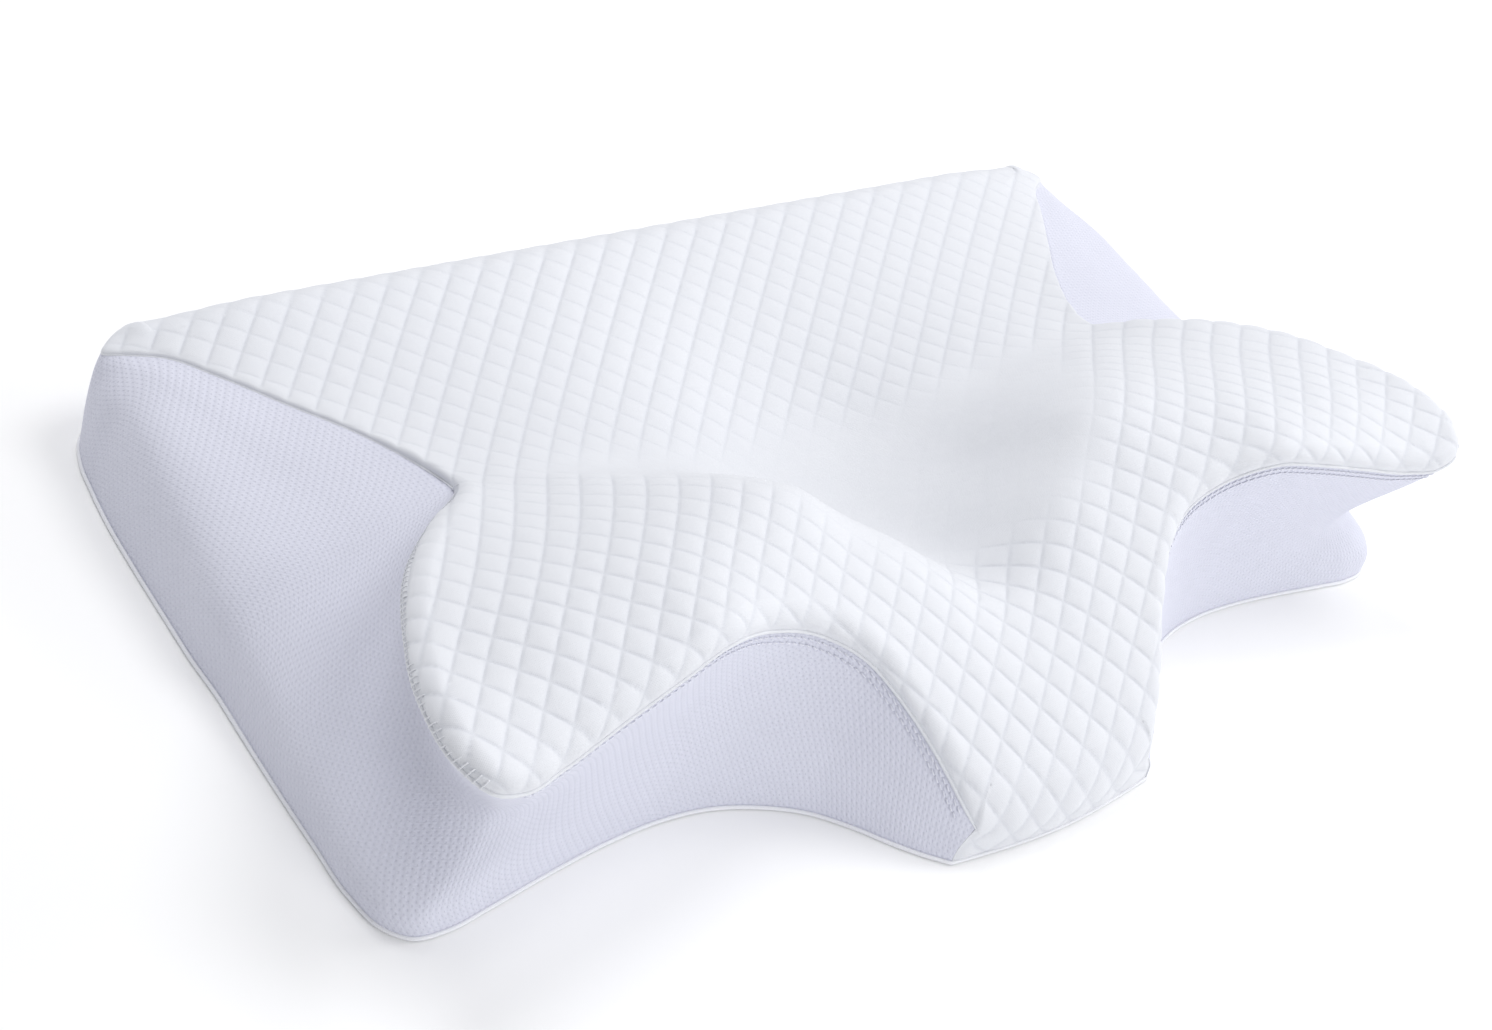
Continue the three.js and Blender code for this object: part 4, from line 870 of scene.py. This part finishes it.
bo = base_outline()
gap_b = 1.1
bx, by = np.meshgrid(np.arange(-34, 34.01, gap_b), np.arange(-20.5, 18.9, gap_b * 0.866))
bx = bx + (np.arange(len(bx)) % 2)[:, None] * gap_b / 2
bpts = np.column_stack([bx.ravel(), by.ravel()])
poly = bo[:, :2]
ok = inside(poly, bpts[:, 0], bpts[:, 1])
bpts = bpts[ok]
d2 = np.array([((poly - q_) ** 2).sum(axis=1).min() for q_ in bpts])
bpts = bpts[d2 > 0.25]
bf = triangulate(poly * UNIT[:2], bpts * UNIT[:2])[:, ::-1]
bv = np.concatenate([bo, np.column_stack([bpts, np.zeros(len(bpts))])])
hem = np.array([back_level(z) for z in np.linspace(ZIP_BOTTOM, 0, 8)])
hem[-1] = back_low[-1]
hf = tris(grid_faces(hem.shape[0], hem.shape[1], flip=True)) + len(bv)
base_all = np.concatenate([bv, hem.reshape(-1, 3)])
uvb = np.column_stack([base_all[:, 0] * UNIT[0], base_all[:, 1] * UNIT[1] - base_all[:, 2] * UNIT[2]]) / 100.0
bm = metres(base_all)
bm, bfa, fi = weld(bm, np.concatenate([bf, hf]))
v_, f_, _, uv_ = thicken(bm, bfa, CLOTH, None, uvb[fi])
cover_base = make_object("cover_base", v_, f_, MAT_BASE, uv=uv_)
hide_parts("cover_base_panel")


# ------------------------------------------------------------------ seams and stitches
def frames_along(path):
    t = np.gradient(path, axis=0)
    t /= np.maximum(np.linalg.norm(t, axis=1, keepdims=True), 1e-12)
    n = np.empty_like(t)
    ref = np.array([0.0, 0.0, 1.0]) if abs(t[0, 2]) < 0.9 else np.array([1.0, 0, 0])
    n[0] = ref - t[0] * (ref @ t[0])
    n[0] /= np.linalg.norm(n[0])
    for i in range(1, len(t)):
        a = n[i - 1] - t[i] * (n[i - 1] @ t[i])
        n[i] = a / max(np.linalg.norm(a), 1e-12)
    return t, n, np.cross(t, n)


def tube(path, radius, sides=8, closed=False, squash=(1.0, 1.0)):
    path = np.asarray(path, float)
    t, n, b = frames_along(path)
    a = np.arange(sides) * 2 * math.pi / sides
    r = np.broadcast_to(np.asarray(radius, float), (len(path),))[:, None, None]
    ring = path[:, None] + r * (np.cos(a)[None, :, None] * n[:, None] * squash[0] + np.sin(a)[None, :, None] * b[:, None] * squash[1])
    v = ring.reshape(-1, 3)
    f = []
    m = len(path)
    for i in range(m if closed else m - 1):
        k = (i + 1) % m
        for j in range(sides):
            l = (j + 1) % sides
            f.append((i * sides + j, i * sides + l, k * sides + l, k * sides + j))
    f = np.array(f)
    if not closed:                   # rounded ends
        v = np.concatenate([v, path[:1] - t[:1] * r[0, 0] * 0.6, path[-1:] + t[-1:] * r[-1, 0] * 0.6])
        e0, e1 = len(v) - 2, len(v) - 1
        c0 = [(e0, (j + 1) % sides, j, j) for j in range(sides)]
        c1 = [(e1, (m - 1) * sides + j, (m - 1) * sides + (j + 1) % sides, (m - 1) * sides + (j + 1) % sides) for j in range(sides)]
        tri = np.concatenate([tris(f), np.array(c0)[:, :3], np.array(c1)[:, :3]])
        return v, tri
    return v, tris(f)


def join(pieces):
    vs, fs, k = [], [], 0
    for v, f in pieces:
        vs.append(v)
        fs.append(f + k)
        k += len(v)
    return np.concatenate(vs), np.concatenate(fs)


def path_lengths(p):
    return np.concatenate([[0], np.cumsum(np.linalg.norm(np.diff(p, axis=0), axis=1))])


def resample(p, step, start=0.0, stop=None):
    s = path_lengths(p)
    stop = s[-1] if stop is None else stop
    k = max(2, int(round((stop - start) / step)) + 1)
    x = np.linspace(start, stop, k)
    return np.stack([np.interp(x, s, p[:, i]) for i in range(3)], axis=1)


class Skin:
    """Looks up points of a side wall by length along the seam and distance below it, in metres."""

    def __init__(self, grid, side):
        self.g = grid
        self.s = path_lengths(grid[:, 0])
        self.d = np.concatenate([np.zeros((len(grid), 1)), np.cumsum(np.linalg.norm(np.diff(grid, axis=1), axis=2), axis=1)], axis=1)
        a = np.gradient(grid, axis=0)
        b = np.gradient(grid, axis=1)
        n = np.cross(b, a) if side < 0 else np.cross(a, b)
        self.n = n / np.maximum(np.linalg.norm(n, axis=2, keepdims=True), 1e-12)

    def at(self, s, d, lift):
        s = min(max(s, 0), self.s[-1] - 1e-6)
        i = int(np.searchsorted(self.s, s, side="right") - 1)
        i = min(i, len(self.s) - 2)
        w = (s - self.s[i]) / max(self.s[i + 1] - self.s[i], 1e-9)
        out, nn = [], []
        for k in (i, i + 1):
            out.append([np.interp(d, self.d[k], self.g[k, :, c]) for c in range(3)])
            nn.append([np.interp(d, self.d[k], self.n[k, :, c]) for c in range(3)])
        p = np.array(out[0]) * (1 - w) + np.array(out[1]) * w
        n = np.array(nn[0]) * (1 - w) + np.array(nn[1]) * w
        n /= max(np.linalg.norm(n), 1e-9)
        sink = 0.00045 * math.exp(-(d / 0.0026) ** 2)
        return p + n * (lift - sink)


def seam_marks(grid):
    """Length along the seam at each station."""
    s = path_lengths(grid[:, 0])
    return np.interp(KNOTS, T, s)


left_edge = slice(rim.n_back, rim.n_back + rim.n_seam)
edge_p, edge_in, edge_r = rim.points[left_edge], rim.inward()[left_edge], np.broadcast_to(rim.roll, len(rim.points))[left_edge]
edge_s = path_lengths(metres(edge_p))
edge_marks = np.interp(KNOTS, rim.t, edge_s)


def over_roll(s, arc, lift, side):
    """A point on the quilted edge `arc` mm in from the seam and `lift` mm off the cloth, in metres."""
    c = [np.interp(s, edge_s, edge_p[:, k]) for k in range(3)]
    n = [np.interp(s, edge_s, edge_in[:, k]) for k in range(2)]
    r = np.interp(s, edge_s, edge_r)
    a, rr = arc / (9.5 * r), r + lift / 9.5
    if arc < 0:
        point = np.array([c[0] + n[0] * (r - rr), c[1] + n[1] * (r - rr), c[2] + arc / 9.5])
    else:
        point = np.array([c[0] + n[0] * (r - rr * math.cos(a)), c[1] + n[1] * (r - rr * math.cos(a)), c[2] + rr * math.sin(a)])
    point = metres(point[None])[0]
    return point * np.array([-1.0, 1, 1]) if side > 0 else point


for tag, grid, side in (("left", left_m, -1), ("right", right_m, 1)):
    skin = Skin(grid, side)
    marks = seam_marks(grid)
    # the sewn edge: a fine line at the back, a slim rolled seam allowance from the notch round to the lip
    path = np.concatenate([grid[:, 0] - skin.n[:, 0] * 0.00025, grid[-1, 1:-1] - skin.n[-1, 1:-1] * 0.00025])
    path = resample(path, 0.0011)
    s = path_lengths(path)
    full = smooth((s - marks[11]) / 0.03) * smooth((marks[-1] - s) / 0.012)
    r = (0.00042 + 0.00043 * full) * (1 + 0.05 * np.sin(2 * math.pi * s / 0.0043))
    v_, f_ = tube(path, r, 8)
    ob = make_object(f"seam_roll_{tag}", v_, f_, MAT_ROLL)
    # overlock over the wing seam, notch to wing tip
    st = []
    k, s0, s1 = 0, edge_marks[11] + 0.002, edge_marks[18] - 0.004
    while s0 + 0.0034 * k < s1:
        a = s0 + 0.0034 * k
        pts = [over_roll(a + 0.0022 * x, -0.4 + 5.2 * x, 0.42 + 0.35 * math.sin(math.pi * x), side) for x in np.linspace(0, 1, 7)]
        st.append(tube(np.array(pts), 0.00032, 6))
        k += 1
    v_, f_ = join(st)
    ob = make_object(f"overlock_thread_{tag}", v_, f_, MAT_ROLL)
    # twin-needle stitching under the arch edge, wing tip to lip
    st = []
    for d in (0.0026, 0.0058):
        a, k = marks[19], 0
        while a < marks[29]:
            pts = [skin.at(a + 0.0027 * x, d + 0.0006 * x, 0.0002 + 0.00035 * math.sin(math.pi * x)) for x in np.linspace(0, 1, 5)]
            st.append(tube(np.array(pts), 0.00034, 6))
            a += 0.0040
    v_, f_ = join(st)
    ob = make_object(f"twin_stitch_{tag}", v_, f_, MAT_STITCH)

# rolled edge between the side walls and the base, all round but the zip
lb = metres(np.concatenate([back_low[-1][1:-1][::3], gus[:, -1], lip_low[1:-1], (gus[:, -1] * MIRROR)[::-1]]))
lb = resample(np.concatenate([lb, lb[:1]]), 0.0025)[:-1]
lb[:, 2] = 0.00095
v_, f_ = tube(lb, 0.00095, 8, closed=True)
ob = make_object("seam_roll_base", v_, f_, MAT_THREAD)

# ------------------------------------------------------------------ zip
ZX = 27.24 * UNIT[0]
for tag, z0, z1, node_name in (("upper", ZIP_TOP + 0.2, ZIP_MID + 0.25, "zip_tape_upper"), ("lower", ZIP_MID - 0.25, ZIP_BOTTOM - 0.2, "zip_tape_lower")):
    rows_t = []
    for z in np.linspace(z0, z1, 6):
        row = back_level(min(max(z, ZIP_BOTTOM - 0.5), ZIP_TOP)).copy()
        row[:, 2] = z / UNIT[2]
        rows_t.append(row)
    g = metres(np.array(rows_t))
    g[..., 1] -= 0.00045
    fl = grid_faces(g.shape[0], g.shape[1])
    flat = g.reshape(-1, 3)
    flat[:, 1] += 0.00018 * np.sin(flat[:, 0] * 2 * math.pi / 0.031) * np.sin(math.pi * np.repeat(np.linspace(0, 1, 6), g.shape[1]))
    v_, f_, _, _ = thicken(flat, fl, 0.0007)
    ob = make_object(f"zip_tape_woven_{tag}", v_, f_, MAT_TAPE)
    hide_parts(node_name)


def capsule(length, radius, sides=6, rings=3):
    """Capsule along X, closed."""
    prof = [(-length / 2 - radius * math.cos(a), radius * math.sin(a)) for a in np.linspace(0, math.pi / 2, rings + 1)[1:]]
    prof += [(-x, r) for x, r in prof[::-1]]
    v = [(-length / 2 - radius, 0, 0)]
    for x, r in prof:
        v += [(x, r * math.cos(2 * math.pi * k / sides), r * math.sin(2 * math.pi * k / sides)) for k in range(sides)]
    v.append((length / 2 + radius, 0, 0))
    f = []
    for k in range(sides):
        l = (k + 1) % sides
        f.append((0, 1 + l, 1 + k))
        for i in range(len(prof) - 1):
            a, b = 1 + i * sides, 1 + (i + 1) * sides
            f += [(a + k, a + l, b + l), (a + k, b + l, b + k)]
        e = 1 + (len(prof) - 1) * sides
        f.append((e + k, e + l, len(v) - 1))
    return np.array(v, float), np.array(f)


def scatter(template, origins, axes):
    """Copies of a mesh at origins with 3x3 axes (columns)."""
    v, f = template
    out = np.einsum("nij,kj->nki", axes, v) + origins[:, None]
    n = len(origins)
    return out.reshape(-1, 3), (f[None] + (np.arange(n) * len(v))[:, None, None]).reshape(-1, 3)


coil_lo, coil_hi = (np.array(list(c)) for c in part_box("zip_coil_upper"))
y_mid, depth_y = (coil_lo[1] + coil_hi[1]) / 2, (coil_hi[1] - coil_lo[1])
PITCH = 0.0018
x_end = coil_hi[0] - 0.0006
for tag, sgn, node_name in (("upper", 1, "zip_coil_upper"), ("lower", -1, "zip_coil_lower")):
    lo, hi = (np.array(list(c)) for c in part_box(node_name))
    xs = np.arange(-x_end + (PITCH / 2 if sgn > 0 else 0), x_end, PITCH)
    z_in, z_out = (lo[2], hi[2]) if sgn > 0 else (hi[2], lo[2])
    z_in -= sgn * 0.0006
    length = abs(z_out - z_in)
    ax = np.zeros((3, 3))
    ax[2, 0], ax[0, 1], ax[1, 2] = 1, 0.85, 1.35      # along Z, narrow across X, deep in Y
    tv, tf = capsule(length - 0.0009, 0.00045)
    axs = np.repeat(ax[None], len(xs), axis=0)
    org = np.column_stack([xs, np.full(len(xs), y_mid), np.full(len(xs), (z_in + z_out) / 2)])
    a = scatter((tv, tf), org, axs)
    hv, hf2 = capsule(0.0002, 0.00052)                # interlocking head of each tooth
    ax2 = np.zeros((3, 3))
    ax2[0, 0], ax2[1, 1], ax2[2, 2] = 1, 1.15, 0.9
    org2 = org.copy()
    org2[:, 2] = z_in + sgn * 0.0004
    b = scatter((hv, hf2), org2, np.repeat(ax2[None], len(xs), axis=0))
    cord_path = np.column_stack([np.linspace(-x_end, x_end, 260), np.full(260, y_mid - 0.0002), np.full(260, z_out - sgn * 0.0004)])
    cord_path[:, 1] += 0.00008 * np.sin(np.arange(260) * 1.9)
    c = tube(cord_path, 0.00050, 8)
    v_, f_ = join([a, b, c])
    ob = make_object(f"zip_teeth_{tag}", v_, f_, MAT_COIL)
    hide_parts(node_name)

# stitching that holds the tapes to both hems
st = []
for z, kz in ((ZIP_TOP + 2.2, 0), (ZIP_BOTTOM - 2.2, 1)):
    lvl = metres(back_level(ZIP_BOTTOM if kz else ZIP_TOP))
    y = lvl[len(lvl) // 2, 1]
    xs = np.arange(-0.254, 0.254, 0.0034)
    cap = capsule(0.0019, 0.00034)
    ax = np.eye(3)
    org = np.column_stack([xs, np.full(len(xs), y + 0.00015), np.full(len(xs), z / 1000)])
    st.append(scatter(cap, org, np.repeat(ax[None], len(xs), axis=0)))
v_, f_ = join(st)
ob = make_object("zip_topstitch", v_, f_, MAT_THREAD)

# metal parts keep their own shape, with their edges broken
for name in ("zip_slider", "zip_pull_tab", "zip_top_stop_upper", "zip_top_stop_lower", "zip_bottom_stop"):
    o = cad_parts[name]
    o.data.materials.clear()
    o.data.materials.append(MAT_METAL)
    bev = o.modifiers.new("edges", "BEVEL")
    bev.width, bev.segments, bev.limit_method, bev.angle_limit = 0.00022, 2, "ANGLE", math.radians(35)

# ------------------------------------------------------------------ liner and core
rim_c, crown_c, cf, _, gus_c, back_c, lip_c, low_c, n0c, _ = crown_zip_parts(0.9, np.linspace(0, 1, 14), [math.radians(a) for a in (25, 50, 75, 90)], lattice_plan(0.95), 1)
blocks, k = [], 0


def add_block(pts, f):
    global k
    blocks.append((pts.reshape(-1, 3), f + k))
    k += len(pts.reshape(-1, 3))


add_block(crown_c, cf)
add_block(back_c, tris(grid_faces(back_c.shape[0], back_c.shape[1], flip=True)))
add_block(lip_c, tris(grid_faces(lip_c.shape[0], lip_c.shape[1])))
add_block(gus_c, tris(grid_faces(gus_c.shape[0], gus_c.shape[1])))
add_block(gus_c * MIRROR, tris(grid_faces(gus_c.shape[0], gus_c.shape[1], flip=True)))
n_upper = sum(len(b[1]) for b in blocks)
outline_c = np.concatenate([back_c[-1][1:-1], gus_c[:, -1], low_c[1:-1], (gus_c[:, -1] * MIRROR)[::-1]])
pc = outline_c[:, :2]
ic = bpts[::2]
dc = np.array([((pc - q_) ** 2).sum(axis=1).min() for q_ in ic])
ic = ic[dc > 1.0]
add_block(np.concatenate([outline_c, np.column_stack([ic, np.zeros(len(ic))])]), triangulate(pc * UNIT[:2], ic * UNIT[:2])[:, ::-1])
allv = metres(np.concatenate([b[0] for b in blocks]))
allf = np.concatenate([b[1] for b in blocks])
is_base = np.zeros(len(allf), bool)
is_base[n_upper:] = True
key = np.round(allv / 2e-6).astype(np.int64)
_, first, inv = np.unique(key, axis=0, return_index=True, return_inverse=True)
inv = inv.ravel()
cv_, cf_ = allv[first], inv[allf]
ok = (cf_[:, 0] != cf_[:, 1]) & (cf_[:, 1] != cf_[:, 2]) & (cf_[:, 0] != cf_[:, 2])
cf_, is_base = cf_[ok], is_base[ok]
e = np.sort(np.concatenate([cf_[:, [0, 1]], cf_[:, [1, 2]], cf_[:, [2, 0]]]), axis=1)
_, cnt = np.unique(e, axis=0, return_counts=True)
print("core open edges", int((cnt != 2).sum()), "faces", len(cf_))
cn = vertex_normals(cv_, cf_)
# the bottom edge moves in as well as up
wall_n = np.nan_to_num(vertex_normals(cv_, cf_[~is_base]))
low_edge = np.intersect1d(np.unique(cf_[is_base]), np.unique(cf_[~is_base]))
cn[low_edge] = wall_n[low_edge] * np.array([1.15, 1.15, 0]) + np.array([0, 0, -1.0])
core_v = cv_ - cn * 0.0035
core_v[:, 2] = np.maximum(core_v[:, 2], 0.0035)  # the lip's low rows stop level with the flat underside
core = make_object("foam_core_moulded", core_v, cf_, MAT_FOAM)
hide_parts("foam_core")


def used_only(v, f):
    ids, inv_ = np.unique(f, return_inverse=True)
    return v[ids], inv_.reshape(f.shape), ids


for name, sel, node_name in (("liner_jersey_upper", ~is_base, "liner_upper"), ("liner_jersey_lower", is_base, "liner_lower")):
    lv_, lf_, ids = used_only(cv_ - cn * 0.0023, cf_[sel])
    # shell with the body's own normals, so both skins stay clear of the core
    N_ = len(lv_)
    inner = lv_ - cn[ids] * 0.0006
    lv_[:, 2] = np.maximum(lv_[:, 2], 0.0023)
    inner[:, 2] = np.maximum(inner[:, 2], 0.0029)
    e = np.concatenate([lf_[:, [0, 1]], lf_[:, [1, 2]], lf_[:, [2, 0]]])
    _, idx, cnt = np.unique(np.sort(e, axis=1), axis=0, return_index=True, return_counts=True)
    rim_e = e[idx[cnt == 1]]
    side = np.concatenate([np.stack([rim_e[:, 1], rim_e[:, 0], rim_e[:, 0] + N_], 1), np.stack([rim_e[:, 1], rim_e[:, 0] + N_, rim_e[:, 1] + N_], 1)])
    ob = make_object(name, np.concatenate([lv_, inner]), np.concatenate([lf_, lf_[:, ::-1] + N_, side]), MAT_LINER)
    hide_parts(node_name)
    area = np.linalg.norm(np.cross(lv_[lf_[:, 1]] - lv_[lf_[:, 0]], lv_[lf_[:, 2]] - lv_[lf_[:, 0]]), axis=1).sum() / 2
    print(name, "area", area)


# ------------------------------------------------------------------ stage
scene = bpy.context.scene
scene.view_settings.view_transform = "Standard"
scene.view_settings.look = "None"

me = bpy.data.meshes.new("floor")
H = 9.0
me.from_pydata([(-H, -H, -0.0003), (H, -H, -0.0003), (H, H, -0.0003), (-H, H, -0.0003)], [], [(0, 1, 2, 3)])
floor = bpy.data.objects.new("floor", me)
scene.collection.objects.link(floor)
mfl, ntf, bf_ = new_material("floor_pale")
bf_.inputs["Base Color"].default_value = (0.955, 0.955, 0.955, 1)
bf_.inputs["Roughness"].default_value = 0.95
bf_.inputs["Specular IOR Level"].default_value = 0.1
me.materials.append(mfl)

world = bpy.data.worlds.new("studio")
scene.world = world
world.use_nodes = True
bg = world.node_tree.nodes.get("Background") or world.node_tree.nodes.new("ShaderNodeBackground")
bg.inputs[0].default_value = (0.97, 0.975, 1.0, 1)
bg.inputs[1].default_value = 0.555


def area_light(name, direction, distance, size, power, colour=(1, 1, 1)):
    d = Vector(direction).normalized()
    li_ = bpy.data.lights.new(name, "AREA")
    li_.shape, li_.size, li_.energy, li_.color = "DISK", size, power, colour
    o = bpy.data.objects.new(name, li_)
    o.location = Vector((0, 0, 0.05)) + d * distance
    o.rotation_euler = d.to_track_quat("Z", "Y").to_euler()
    scene.collection.objects.link(o)
    return o


area_light("key", (0.44, 0.0, 0.90), 2.6, 1.2, 18.0)
area_light("back_top", (0.0, 0.45, 0.89), 2.6, 1.2, 22.5)
area_light("front_fill", (0.2, -0.95, 0.25), 2.6, 1.2, 20.0)
area_light("side", (0.90, -0.2, 0.38), 2.6, 1.2, 13.5)

# camera at the photograph's viewing angle
F_PX, AZ, EL, ROLL_C, DIST, TX, TY = 2300.0, -0.9096766119410213, 0.6822697959025502, 0.40376194077104977, 119.8264744217007, 3.050275905570997, -1.1449810271650602
back_v = np.array([math.sin(AZ) * math.cos(EL), -math.cos(AZ) * math.cos(EL), math.sin(EL)])
right_v = np.array([math.cos(AZ), math.sin(AZ), 0.0])
up_v = np.cross(back_v, right_v)
c_, s_ = math.cos(ROLL_C), math.sin(ROLL_C)
R = np.array([c_ * right_v + s_ * up_v, -s_ * right_v + c_ * up_v, back_v])
loc = R.T @ np.array([-TX, -TY, DIST]) * 0.0095 + np.array([0, SHIFT[1] / 1000, 0])
cam_d = bpy.data.cameras.new("camera")
cam_d.sensor_fit, cam_d.sensor_width, cam_d.lens = "HORIZONTAL", 36.0, F_PX / 1492 * 36.0
cam_d.clip_start, cam_d.clip_end = 0.05, 50.0
cam = bpy.data.objects.new("camera", cam_d)
mw = Matrix.Identity(4)
for i in range(3):
    for j in range(3):
        mw[j][i] = R[i][j]
mw.translation = Vector(loc)
cam.matrix_world = mw
scene.collection.objects.link(cam)
scene.camera = cam
